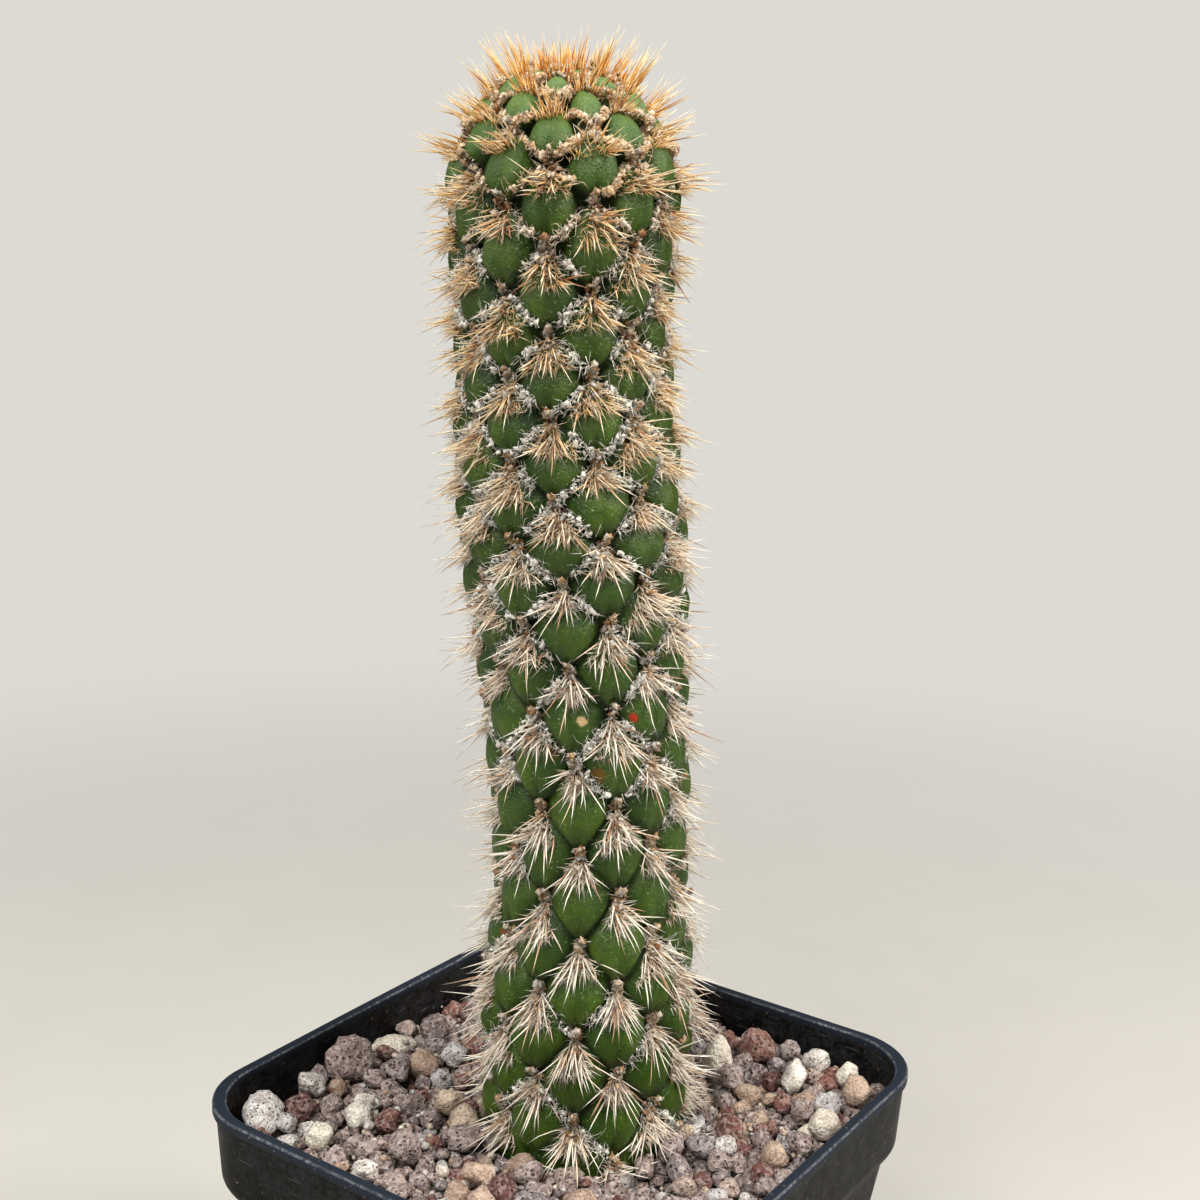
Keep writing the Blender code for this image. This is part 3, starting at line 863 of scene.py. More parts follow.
# Everything about the areoles: where they are, and which way is out, aside and down
def makeAreoles():
    columns = stem["columns"]
    counts = np.arange(int(np.ceil(footRise * columns)), int(crownRise * columns) + 1).astype(float)
    places, normals = skinAt(counts, -counts)[:2]
    aside = unit(np.cross(zUp, normals))
    down = unit(np.cross(aside, normals))
    down = np.where(down[:, 2:] > 0, -down, down)
    return {
        "counts": counts,
        "places": places,
        "normals": normals,
        "aside": aside,
        "down": down,
        "share": counts / columns / crownRise,
        "upright": np.arcsin(np.clip(normals[:, 2], -1, 1)) / (pi / 2),
    }


areoles = makeAreoles()


# Nearly straight spines from roots and headings
def spinePaths(rng, roots, headings, lengths, rings):
    steps = np.linspace(0, 1, rings + 1)
    straight = roots[:, None] + headings[:, None] * (lengths[:, None] * steps)[..., None]
    bends = arrows(rng, spines["bend"], len(roots)) * lengths[:, None]
    return straight + bends[:, None] * (steps * (1 - steps) * 4)[None, :, None]


# Headings that turn from straight down the stem, and lift off its skin, in degrees
def fanHeadings(index, turn, lift):
    turn, lift = np.radians(turn)[:, None], np.radians(lift)[:, None]
    flat = areoles["down"][index] * np.cos(turn) + areoles["aside"][index] * np.sin(turn)
    return flat * np.cos(lift) + areoles["normals"][index] * np.sin(lift)


# One row for each spine: areole, root's way down the left and the right groove, turn,
# lift, length, radius
def planSpines(rng):
    longRows, shortRows, bristleRows = [], [], []
    for index, share in enumerate(areoles["share"]):
        if areoles["places"][index][2] < spines["lowest"]:
            continue
        count, length, lift, turn, small, tall, wide, stout = (
            float(np.interp(share, spines["shares"], spines[key]))
            for key in (
                "counts", "lengths", "lifts", "turns", "short", "patchTall", "patchWide", "stoutness"
            )
        )
        vigour = rng.uniform(*spines["vigour"])
        lopsided = rng.gauss(0, spines["lopsided"])
        legs = {side: rng.uniform(*spines["legs"]) for side in (-1, 1)}

        # Across runs from -1 to 1 over the patch, and down from 0 at its tip to 1
        def addRow(rows, across, down, spin, rise, reach, girth):
            side = 1 if across > 0 else -1
            leg = wide * abs(across) * down * legs[side] * vigour
            drop = down * (tall * vigour - spines["patchRake"] * abs(across))
            left, right = drop + (leg if side < 0 else 0), drop + (leg if side > 0 else 0)
            girth = girth * stout * spines["radius"]
            rows.append((index, left, right, spin + lopsided, rise, reach, girth))

        total = round(count * vigour)
        stray = longSpines["stray"]
        raisedShare, raised = longSpines["raised"]
        for number in range(total):
            across = (number + rng.uniform(0, 1)) / total * 2 - 1
            spin = across * turn + rng.gauss(0, stray)
            rise = (raised if rng.random() < raisedShare else lift) + rng.gauss(0, stray)
            reach = length * rng.uniform(*longSpines["lengths"])
            reach = reach * (1 - longSpines["sideways"] * abs(across))
            down = rng.uniform(*longSpines["down"])
            addRow(longRows, across, down, spin, rise, reach, rng.uniform(*longSpines["girths"]))
        for number in range(round(small * vigour)):
            across = rng.uniform(-1, 1)
            spin = across * shortSpines["turn"] + rng.gauss(0, shortSpines["stray"])
            reach = rng.uniform(*shortSpines["lengths"])
            down = sqrt(rng.random())
            rise = rng.uniform(*shortSpines["lifts"])
            addRow(shortRows, across, down, spin, rise, reach, rng.uniform(*shortSpines["girths"]))
        for number in range(bristles["count"] if share > bristles["share"] else 0):
            across, down = rng.uniform(*bristles["across"]), rng.uniform(*bristles["down"])
            reach = rng.uniform(*bristles["lengths"]) * mm
            spin, rise = rng.uniform(*bristles["turns"]), rng.uniform(*bristles["lifts"])
            addRow(bristleRows, across, down, spin, rise, reach, bristles["girth"])
    return np.array(longRows), np.array(shortRows), np.array(bristleRows)


def growSpines(rng, table, kind, zoneShift=0):
    index = table[:, 0].astype(int)
    counts = areoles["counts"][index]
    roots = skinAt(counts - table[:, 1], -counts - table[:, 2])[0]
    upright = areoles["upright"][index]
    lift = table[:, 4] + (spines["crownLift"] - table[:, 4]) * upright
    headings = fanHeadings(index, table[:, 3], lift)
    lengths = table[:, 5]
    # Tips that would reach into the gravel are laid on it
    lowest = (spines["touchdown"] - roots[:, 2]) / lengths
    dipping = np.maximum(headings[:, 2], np.minimum(lowest, spines["steepest"]))
    headings = unit(np.concatenate((headings[:, :2], dipping[:, None]), axis=1))
    roots = roots - headings * spines["rootDepth"]
    taper = np.array(kind["taper"])
    paths = spinePaths(rng, roots, headings, lengths + spines["rootDepth"], len(taper))
    radii = table[:, 6][:, None] * taper
    stray = spines["zoneSpread"]
    zone = areoles["share"][index] + spread(rng, -stray, stray, len(index)) + zoneShift
    values = {"zone": zone, "chance": spread(rng, 0, 1, len(index))}
    return makeFibres(paths, radii, kind["sides"], values)


# Places on the dome, on a spiral from the growing point, with the share of its reach
# and the way out of each
def crownSpiral(total, furthest, stray):
    number = np.arange(total)
    reach = np.sqrt((number + 0.5) / total)
    goldenTurn = radians(137.5)
    out = levelHeadings(number * goldenTurn + stray) * reach[:, None]
    fall = stem["domeHeight"] * (1 - np.sqrt(1 - (reach * furthest / domeRadius) ** 2))
    return crownPlace + out * furthest - zUp * fall[:, None], reach, out


def growTuft(rng):
    total = tuft["count"]
    stray = spread(rng, -tuft["turnStray"], tuft["turnStray"], total)
    roots, reach, out = crownSpiral(total, tuft["reach"], stray)
    roots = roots - zUp * tuft["rootDepth"]
    middle, more, power = tuft["leans"]
    lean = middle + more * reach**power + spread(rng, -tuft["leanStray"], tuft["leanStray"], total)
    headings = unit(zUp + out * lean[:, None] + arrows(rng, tuft["sway"], total))
    lengths = spread(rng, *tuft["lengths"], total) + tuft["rootDepth"]
    highest = tuft["top"] - tuft["fall"] * reach**2 - spread(rng, 0, tuft["topStray"], total)
    lengths = np.minimum(lengths, (highest - roots[:, 2]) / headings[:, 2])
    taper = np.array(tuft["taper"])
    paths = spinePaths(rng, roots, headings, lengths, len(taper))
    radii = tuft["radius"] * spread(rng, *tuft["girths"], total)[:, None] * taper
    innerZone, zoneFall = tuft["zones"]
    values = {"zone": innerZone - zoneFall * reach, "chance": spread(rng, 0, 1, total)}
    return makeFibres(paths, radii, tuft["sides"], values)


def makeSpines(material):
    rng = random.Random(spines["seed"])
    longRows, shortRows, bristleRows = planSpines(rng)
    longOnes = growSpines(rng, longRows, longSpines)
    shortOnes = growSpines(rng, shortRows, shortSpines)
    stiffOnes = growSpines(rng, bristleRows, shortSpines, bristles["zone"])
    makePiece("longSpines", longOnes, material)
    makePiece("shortSpines", shortOnes, material)
    makePiece("crownTuft", joinParts([growTuft(rng), stiffOnes]), material)


spineLook = {
    # colours from root to tip, in zones up the stem; the darker roots are partly the spines' own colour,
    # partly painted shade deep in each cluster
    "low": ((0.02, (156, 114, 86)), (0.3, (244, 232, 214)), (0.95, (255, 253, 246))),
    "middle": ((0.02, (112, 60, 34)), (0.36, (230, 200, 156)), (0.82, (255, 250, 228))),
    "high": ((0.02, (176, 84, 26)), (0.36, (230, 162, 68)), (0.95, (252, 226, 150))),
    "crown": ((0.12, (200, 66, 6)), (0.5, (228, 124, 24)), (0.95, (246, 196, 92))),
    "bristle": (84, 34, 18),  # all of it one colour
    # where each zone starts and is full
    "middleFrom": (0.3, 0.62),
    "highFrom": (0.74, 0.94),
    "crownFrom": (1.02, 1.2),
    "bristleFrom": (1.4, 1.5),
    # some spines are golden further down, and some dull
    "goldenFrom": (0.4, 0.62),
    "goldenChance": (0.7, 0.85),
    "golden": 0.6,
    "dullness": ((0.0, (176, 134, 110)), (0.16, (240, 222, 206)), (0.3, (255, 255, 255))),
    "grime": ((170, 124, 84), 0.12),
}


def makeSpineMaterial():
    look = spineLook
    material, shader, place = startMaterial("driedSpine", Roughness=0.48, Specular_IOR_Level=0.4)
    tone, zone, chance = readValues(place, "tone", "zone", "chance")
    # each ramp darkens a spine towards its root: partly its own colour, partly painted shade deep in the
    # cluster
    low, middle, high, crown = (colourRamp(tone, look[key]) for key in ("low", "middle", "high", "crown"))
    colour = blendColours(between(zone, *look["middleFrom"]), low, middle)
    golden = multiply(between(zone, *look["goldenFrom"]), between(chance, *look["goldenChance"]))
    colour = coat(colour, golden, high, look["golden"])
    colour = blendColours(between(zone, *look["highFrom"]), colour, high)
    colour = blendColours(between(zone, *look["crownFrom"]), colour, crown)
    colour = blendColours(between(zone, *look["bristleFrom"]), colour, look["bristle"])
    colour = blendColours(1.0, colour, colourRamp(chance, look["dullness"]), "MULTIPLY")
    patches = mottle(place, 700.0, 0.5)
    feed(shader, Base_Color=coat(colour, patches, *look["grime"]))
    addBump(shader, patches, 0.2, 0.05 * mm)
    return material


# Felt and wool in the areoles and the grooves: clumps of crumbs and of short curly hairs

felt = {
    "seed": 19,
    "lowest": 83 * mm,
    "crumbRadius": 0.36 * mm,
    "crumbSizes": (0.5, 1.3),
    "crumbLayer": (0.6, 1.1),  # where crumbs lie, as shares of a clump's thickness
    "crumbPull": 0.8,
    "crumbSpan": 1.15,
    "crumbGrain": 0.5 * mm,
    "hairRadius": 0.075 * mm,
    "hairLayer": (0.4, 1.1),
    "hairTaper": (1, 0.7),
    "hairSteps": (-0.2, 0.4, 1.0),
    "hairStray": 0.8,
    "outward": 0.7,  # how far both lean out from the skin
    # how many of each a clump has, the lengths of its hairs in mm, and their curl
    "crown": {"crumbs": 620, "hairs": 160, "lengths": (0.7, 1.7), "curl": 0.2},
    "hat": {"crumbs": 36, "hairs": 16, "lengths": (0.6, 1.3), "curl": 0.12},
    "pad": {"crumbs": 36, "hairs": 12, "lengths": (0.7, 1.7), "curl": 0.2},
    "band": {"crumbs": 130, "hairs": 46, "lengths": (0.7, 1.7), "curl": 0.2},
    "tangle": {"crumbs": (10, 36), "hairs": (30, 60), "lengths": (0.9, 2.6), "curl": 0.2},
    "crownReach": 7.0 * mm,  # wool on the growing point
    "crownThick": 0.8 * mm,
    "crownPlaces": 70,
    "hatHeight": 3.3 * mm,
    "hatGirths": (0.95 * mm, 1.05 * mm, 0.95 * mm, 0.72 * mm, 0.46 * mm, 0.16 * mm),
    "hatSizes": (0.75, 1.2),
    "hatFoot": 0.03,  # a little over the areole
    "hatRoot": -0.1,  # how deep its base sits, as a share of its height
    "hatLean": (0.85, 0.6, 0.25),  # off the skin, upwards, and to either side at the most
    "padRadius": 1.2 * mm,
    "padReach": (0.2, 0.28),
    "padPlaces": 8,
    "bandShare": 0.77,  # over this share of the stem thick wool fills the grooves
    "bandOver": 0.08,
    "bandRadius": 0.95 * mm,
    "bandSizes": (0.8, 1.15),
    "bandReach": (0.8, 2.5, 1.02),  # of a groove: at first, its growth, and at the most
    "bandReaches": (0.9, 1.0),
    "bandCore": 0.7,
    "bandPlaces": 16,
    "bandEnds": (0.06, 0.94),  # it thins out towards both, less so for a low fullness
    "bandFullness": 0.4,
    "bandSwells": (0.5, 1.2),
    "bandSides": 8,
    "bandLump": (0.7 * mm, 0.35 * mm),
    # by the share of the stem's rises: how many grooves hold ragged white tangles
    "shares": (0.0, 0.3, 0.45, 0.6, 0.8),
    "tangles": (0.3, 0.5, 0.85, 0.97, 0.97),
    "tangleRadius": 0.85 * mm,
    "tangleStarts": (0.1, 0.35),
    "tangleReaches": (0.3, 0.65),
    "tangleProud": 1.3 * mm,
    "tanglePlaces": 12,
}


# Places down a groove from an areole: side 1 runs to the right, -1 to the left, and 0
# down the crest of the tubercle between them
def groovePath(count, side, steps):
    across = count - (steps if side < 1 else 0 * steps)
    along = -count - (steps if side > -1 else 0 * steps)
    return skinAt(across, along)[:2]


def anyHeading(rng):
    return arrows(rng, 1, 1)[0]


# A clump is a path with its ways out from the skin, its thickness at each place, and
# its share of the stem's rises
def makeClump(path, outward, thick, share):
    return {"path": path, "outward": outward + 0 * path, "thick": thick + 0 * path[:, 0], "share": share}


# A place in a layer of a clump, and its heading from the clump's middle
def strayPlace(rng, clump, layer):
    ring = rng.randrange(len(clump["path"]))
    away = unit(anyHeading(rng) + clump["outward"][ring] * felt["outward"])
    return clump["path"][ring] + away * clump["thick"][ring] * rng.uniform(*layer), away


def howMany(rng, count):
    return rng.randint(*count) if isinstance(count, tuple) else count


# Crumbs are rows of place, radius, zone and chance, and hairs of path, radii, zone and chance
def coverClump(rng, clump, kind, crumbs, hairs):
    share = clump["share"]
    for crumb in range(howMany(rng, felt[kind]["crumbs"])):
        place = strayPlace(rng, clump, felt["crumbLayer"])[0]
        radius = rng.uniform(*felt["crumbSizes"]) * felt["crumbRadius"]
        crumbs.append((place, radius, share, rng.random()))
    steps = np.array(felt["hairSteps"])[:, None]
    radii = np.array(felt["hairTaper"]) * felt["hairRadius"]
    for hair in range(howMany(rng, felt[kind]["hairs"])):
        place, away = strayPlace(rng, clump, felt["hairLayer"])
        length = rng.uniform(*felt[kind]["lengths"]) * mm
        swirl = np.cumsum(arrows(rng, felt[kind]["curl"], len(steps)), axis=0)
        heading = unit(away + felt["hairStray"] * anyHeading(rng))
        path = place + heading * steps * length + swirl * length
        hairs.append((path, radii, share, rng.random()))


# Rows turned into arrays of their own, with the zone and chance as values
def gatherRows(rows):
    places, radii, zone, chance = (np.array(column) for column in zip(*rows))
    return places, radii, {"zone": zone, "chance": chance}


def gatherFibres(rows, sides, lump=None):
    paths, radii, values = gatherRows(rows)
    return makeFibres(paths, radii, sides, values, lump)


# Crumbs are small eight-sided flakes and lumps, each pulled about in its own way
def gatherCrumbs(rows):
    draw = np.random.default_rng(felt["seed"])
    pull = np.eye(3) + draw.uniform(-felt["crumbPull"], felt["crumbPull"], (len(rows), 3, 3))
    pull = pull * np.sign(np.linalg.det(pull))[:, None, None]
    sphere = np.concatenate((np.eye(3), -np.eye(3))) * felt["crumbSpan"]
    triangles = np.array((
        (0, 1, 2), (1, 3, 2), (3, 4, 2), (4, 0, 2), (1, 0, 5), (3, 1, 5), (4, 3, 5), (0, 4, 5),
    ))
    spots, radii, values = gatherRows(rows)
    size = felt["crumbGrain"]
    places = spots[:, None] + sphere @ pull * radii[:, None, None]
    places = places + sphere * (grain(places, size) * size / 2)[..., None]
    starts = np.arange(len(rows))[:, None, None] * len(sphere)
    values = {key: np.repeat(value, len(sphere)) for key, value in values.items()}
    values["tone"] = 0.5 + 0 * values["zone"]
    return places.reshape(-1, 3), np.empty((0, 4), int), (triangles + starts).reshape(-1, 3), values


# A pointed cap of felt over an areole
def makeHat(rng, index):
    count, share, normal, aside = (areoles[key][index] for key in ("counts", "share", "normals", "aside"))
    across, along = np.array([count]), np.array([-count])
    point = skinAt(across - felt["hatFoot"], along - felt["hatFoot"])[0][0]
    off, up, sideways = felt["hatLean"]
    lean = unit(normal * off + zUp * up + aside * rng.uniform(-sideways, sideways))
    size = rng.uniform(*felt["hatSizes"])
    girths = np.array(felt["hatGirths"])
    steps = np.linspace(felt["hatRoot"], 1, len(girths))[:, None]
    return makeClump(point + lean * felt["hatHeight"] * size * steps, lean, girths * size, share)


# A band of thick wool along a groove: its clump, and a row for its plain core
def makeBand(rng, count, side, share):
    first, growth, most = felt["bandReach"]
    total = felt["bandPlaces"]
    reach = min(most, first + growth * (share - felt["bandShare"])) * rng.uniform(*felt["bandReaches"])
    path, outward = groovePath(count, side, np.linspace(0.0, reach, total))
    thick = felt["bandRadius"] * rng.uniform(*felt["bandSizes"])
    fade = np.sin(pi * np.linspace(*felt["bandEnds"], total)) ** felt["bandFullness"]
    swells = spread(rng, *felt["bandSwells"], 4)
    fade = fade * np.interp(np.arange(total), np.linspace(0, total - 1, len(swells)), swells)
    path = path + outward * thick * felt["bandCore"]
    core = (path, thick * felt["bandCore"] * fade, share, rng.random())
    return makeClump(path, outward, thick * fade, share), core


def makeTangle(rng, count, side, share):
    start = rng.uniform(*felt["tangleStarts"])
    steps = np.linspace(start, start + rng.uniform(*felt["tangleReaches"]), felt["tanglePlaces"])
    path, outward = groovePath(count, side, steps)
    return makeClump(path + outward * felt["tangleProud"], outward, felt["tangleRadius"], share)


def makeFelt(feltMaterial, woolMaterial):
    rng = random.Random(felt["seed"])
    cores, feltCrumbs, woolCrumbs, feltHairs, woolHairs = [], [], [], [], []
    path = crownSpiral(felt["crownPlaces"], felt["crownReach"], 0)[0]
    coverClump(rng, makeClump(path, zUp, felt["crownThick"], 1.0), "crown", woolCrumbs, woolHairs)
    for index, count in enumerate(areoles["counts"]):
        if areoles["places"][index][2] < felt["lowest"]:
            continue
        share = areoles["share"][index]
        coverClump(rng, makeHat(rng, index), "hat", feltCrumbs, feltHairs)
        # A pad down the tubercle's crest, and what lies in the two grooves
        steps = np.linspace(0.0, rng.uniform(*felt["padReach"]), felt["padPlaces"])
        pad = makeClump(*groovePath(count, 0, steps), felt["padRadius"], share)
        coverClump(rng, pad, "pad", feltCrumbs, feltHairs)
        for side in (-1, 1):
            if rng.random() < smooth((share - felt["bandShare"]) / felt["bandOver"]):
                band, core = makeBand(rng, count, side, share)
                cores.append(core)
                coverClump(rng, band, "band", woolCrumbs, woolHairs)
            elif rng.random() < np.interp(share, felt["shares"], felt["tangles"]):
                coverClump(rng, makeTangle(rng, count, side, share), "tangle", woolCrumbs, woolHairs)
    feltParts = [gatherCrumbs(feltCrumbs), gatherFibres(feltHairs, 3)]
    makePiece("areoleFelt", joinParts(feltParts), feltMaterial)
    bandParts = [gatherFibres(cores, felt["bandSides"], felt["bandLump"]), gatherCrumbs(woolCrumbs)]
    makePiece("grooveWool", joinParts(bandParts), woolMaterial)
    makePiece("woolHairs", gatherFibres(woolHairs, 3), woolMaterial)


feltLook = {
    # colours by chance, low and high on the stem
    "low": (
        (0.0, (180, 124, 76)), (0.25, (236, 192, 140)), (0.6, (250, 232, 210)), (1.0, (255, 252, 246)),
    ),
    "high": (
        (0.0, (150, 92, 58)), (0.3, (226, 188, 146)), (0.6, (248, 232, 208)), (1.0, (255, 250, 240)),
    ),
    "flecks": ((112, 68, 40), 0.35),
}
woolLook = {
    "low": ((0.0, (206, 200, 188)), (1.0, (255, 253, 246))),
    "high": ((0.0, (176, 132, 88)), (0.35, (226, 192, 148)), (1.0, (248, 234, 210))),
    # painted shade in the hollows between the wool's crumbs
    "gaps": ((150, 100, 56), 0.7),
}


def makeFeltMaterial():
    material, shader, place = startMaterial("areoleFelt", Roughness=0.95, Specular_IOR_Level=0.2)
    zone, chance = readValues(place, "zone", "chance")
    low, high = (colourRamp(chance, feltLook[key]) for key in ("low", "high"))
    colour = blendColours(between(zone, 0.5, 0.8), low, high)
    colour = coat(colour, speckle(place, 1900.0, 0.42, 0.35), *feltLook["flecks"])
    feed(shader, Base_Color=colour)
    addBump(shader, mottle(place, 1300.0, 0.5), 0.9, 0.4 * mm)
    return material


def makeWoolMaterial():
    material, shader, place = startMaterial(
        "creamWool", Roughness=0.95, Specular_IOR_Level=0.2, Sheen_Weight=0.25, Sheen_Roughness=0.5
    )
    zone, chance = readValues(place, "zone", "chance")
    low, high = (colourRamp(chance, woolLook[key]) for key in ("low", "high"))
    colour = blendColours(between(zone, 0.68, 0.8), low, high)
    holes, height = pits(place, 2300.0, 0.55)
    # Painted shade: the hollows between the crumbs are darker tan high on the stem
    colour = coat(colour, multiply(holes, between(zone, 0.6, 0.8)), *woolLook["gaps"])
    feed(shader, Base_Color=colour)
    addBump(shader, height, 0.9, 0.4 * mm)
    return material


# The pot's sizes, and the gravel in it

pot = {
    "rimHalf": 51 * mm,
    "beadHeight": 2.2 * mm,
    "beadProud": 0.4 * mm,
    "bandHeight": 14 * mm,
    "bandDraft": 0.05,
    "stepHeight": 3.5 * mm,
    "stepIn": 1.8 * mm,
    "sideDraft": 0.15,
    "wall": 1.2 * mm,
    "lipWidth": 2 * mm,
    "floor": 2 * mm,
    "edge": 0.5 * mm,
    "footRound": 1 * mm,
    "cornerShare": 0.288,
    "cornerCuts": 18,
    "sideCuts": 12,
    "shoulderCuts": 6,
    "drainRadius": 5 * mm,
    "drainOffset": 21 * mm,
    "drainSides": 40,
    "sideBow": 0.25 * mm,  # the long sides hang out a little between their corners
    "bowOver": 40 * mm,
    "bowTop": 6 * mm,  # over the rim, where the bow would end
    "bowFade": 8 * mm,
    "bandBow": 0.6,
    "sharp": radians(45),
}
bandBottom = rimHeight - pot["bandHeight"]
stepBottom = bandBottom - pot["stepHeight"]


# Half width of the pot's outside below the bead
def outerHalf(height):
    foot = pot["rimHalf"] - pot["beadProud"] - pot["bandDraft"] * pot["bandHeight"]
    return np.where(
        height >= bandBottom,
        foot + pot["bandDraft"] * (height - bandBottom),
        np.where(
            height >= stepBottom,
            foot - pot["stepIn"] * (bandBottom - height) / pot["stepHeight"],
            foot - pot["stepIn"] - pot["sideDraft"] * (stepBottom - height),
        ),
    )


gravel = {
    "seed": 23,
    "bottom": 72.5 * mm,
    "bedTop": 79.1 * mm,
    "restDepth": 1.2 * mm,  # how far under the bed's top the lowest stones rest
    # how much higher the bed lies by the left-hand wall and in the back right corner, where
    # it starts to rise, and over how far
    "heap": (0.4 * mm, 5 * mm, 38 * mm),
    "cornerHeap": (2.2 * mm, 10 * mm, 50 * mm),
    # share of the stones, smallest and largest radius
    "sizes": ((0.1, 2.2 * mm, 3.0 * mm), (0.42, 1.4 * mm, 2.2 * mm), (0.48, 0.9 * mm, 1.4 * mm)),
    "count": 1250,
    "frontCount": 420,  # small ones in front of the stem
    "frontRadii": (0.75 * mm, 1.3 * mm),
    # share of the stones and of the grit, and how rough
    "kinds": {
        "lava": (0.64, 0.4, 0.17),
        "scoria": (0.11, 0.15, 0.17),
        "tan": (0.11, 0.2, 0.07),
        "pumice": (0.10, 0.15, 0.16),
        "cream": (0.04, 0.1, 0.06),
    },
    "shapes": ((1.0, 1.22), (0.85, 1.05), (0.78, 1.0)),  # how long, broad and tall
    # in mm: where they are dropped, how far out, and clear of the stem
    "drops": (80, 94),
    "frontDrop": 100,
    "markedDrop": 86,
    "field": 46,
    "clear": 21,
    "front": (-34, -14),  # x over the one and y under the other
    "stemHeights": (-10 * mm, -3 * mm),
    "stemRadii": (17.9 * mm, 19.3 * mm),
    "growth": 1.04,  # past the round stones that settled
    "tilt": 0.9,
    "markedTilt": 0.2,
    "hiddenTop": 81.5 * mm,  # under it a stone is made plain
    "fineFrom": 1.6 * mm,  # and over this radius with more faces
    # The stones that catch the eye: x, y, radius, kind, and how long, broad and tall each is
    "marked": (
        (-43.2, -14.0, 4.8, "lava", (1.25, 0.95, 0.75)),
        (-44.0, -0.5, 3.4, "cream", (1.35, 0.9, 0.75)),
        (-35.0, -9.5, 3.0, "lava", (1.0, 1.0, 0.9)),
        (-44.5, -24.0, 3.0, "pumice", (1.1, 0.9, 0.8)),
        (-42.5, -39.0, 4.2, "pumice", (1.25, 0.95, 0.8)),
        (-35.6, -40.4, 2.8, "pumice", (1.1, 1.0, 0.8)),
        (-19.5, -12.5, 2.9, "tan", (1.0, 0.9, 1.1)),
        (-33.0, -4.0, 3.0, "tan", (1.0, 1.0, 0.95)),
        (14.8, 30.8, 3.6, "cream", (0.95, 0.85, 1.65)),
        (9.5, 43.0, 2.5, "scoria", (1.0, 1.0, 1.0)),
        (17.0, 41.0, 3.5, "scoria", (1.1, 1.0, 0.9)),
        (29.5, 34.5, 2.7, "cream", (1.0, 0.95, 1.1)),
        (30.0, 42.5, 2.8, "pumice", (1.15, 1.0, 0.8)),
        (37.5, 40.5, 2.6, "cream", (0.9, 0.9, 1.15)),
        (34.5, 29.5, 3.0, "tan", (1.1, 0.9, 0.8)),
        (39.5, 31.0, 2.2, "scoria", (1.1, 0.9, 0.85)),
    ),
}
settling = {
    "steps": 170,
    "fall": 0.35 * mm,  # at the first step, and less at each
    "leastFall": 0.02 * mm,
    "overlap": 0.97,
    "ease": 0.32,
    "rest": 0.75,  # of its radius a stone stands over the bed
    "wallGap": 0.2 * mm,
}
grit = {
    "count": 700,
    "radii": (0.35 * mm, 0.85 * mm),
    "shape": (1.1, 0.9, 0.8),
    "field": 48,  # in mm
    "wall": 48.3 * mm,
    "corner": 40 * mm,  # none where both x and y are past it
    "clear": 19.6 * mm,
    "highest": 84 * mm,  # over it a stone stays bare
    "proud": 0.3,  # how far its middle is over what it lies on, as a share of its radius
}
stoneShape = {
    "size": 1.06,
    "lumps": ((0.8, 0.3), (0.38, 0.16)),  # their size and depth on a stone of radius 1
    "chips": 8,
    "chipDepths": (0.58, 0.92),
    "chipBreadth": 0.3,
    "chipSoftness": 0.12,
    "roughSize": 0.2,
}
bed = {
    "around": 160,
    "rings": 44,
    "wallGap": 0.3 * mm,
    "crumbs": ((1.9, 3.3, 0.7), (0.8, 1.1, 0.25)),  # size in mm, seed, depth in mm
}
stemMiddle = stemAxis(0.0)[:2]


# Where the lowest stones rest
def bedHeight(places):
    heap, start, over = gravel["heap"]
    left = heap * smooth((-places[:, 0] - start) / over)
    heap, start, over = gravel["cornerHeap"]
    corner = heap * smooth((places[:, 0] + places[:, 1] - start) / over)
    return gravel["bedTop"] - gravel["restDepth"] + left + corner


# Lets the stones fall on the bed and push each other apart, as round ones
def settleStones(radii, places, pinned):
    reach = radii[:, None] + radii[None]
    steps = settling["steps"]
    for step in range(steps):
        places[:, 2] -= settling["fall"] * (1 - step / steps) + settling["leastFall"]
        apart = places[:, None] - places[None]
        gaps = np.sqrt((apart**2).sum(axis=2)) + tiny
        over = np.maximum(reach * settling["overlap"] - gaps, 0)
        np.fill_diagonal(over, 0)
        push = (apart * (over / gaps)[..., None]).sum(axis=1)
        push[pinned, :2] = 0
        places += settling["ease"] * push
        # Bed, walls with their round corners, and the stem
        places[:, 2] = np.maximum(places[:, 2], bedHeight(places) + radii * settling["rest"])
        half = outerHalf(places[:, 2]) - pot["wall"] - settling["wallGap"]
        limit = (half - radii)[:, None]
        places[:, :2] = np.clip(places[:, :2], -limit, limit)
        corner = (1 - pot["cornerShare"]) * half
        inset = np.maximum(np.abs(places[:, :2]) - corner[:, None], 0)
        length = np.sqrt((inset**2).sum(axis=1)) + tiny
        excess = np.maximum(length - (pot["cornerShare"] * half - radii), 0)
        places[:, :2] -= np.sign(places[:, :2]) * inset * (excess / length)[:, None]
        away = places[:, :2] - stemMiddle
        length = np.sqrt((away**2).sum(axis=1)) + tiny
        girth = np.interp(places[:, 2] - rimHeight, gravel["stemHeights"], gravel["stemRadii"])
        lack = np.maximum(girth + radii - length, 0)
        places[:, :2] += away * (lack / length)[:, None]
    return places


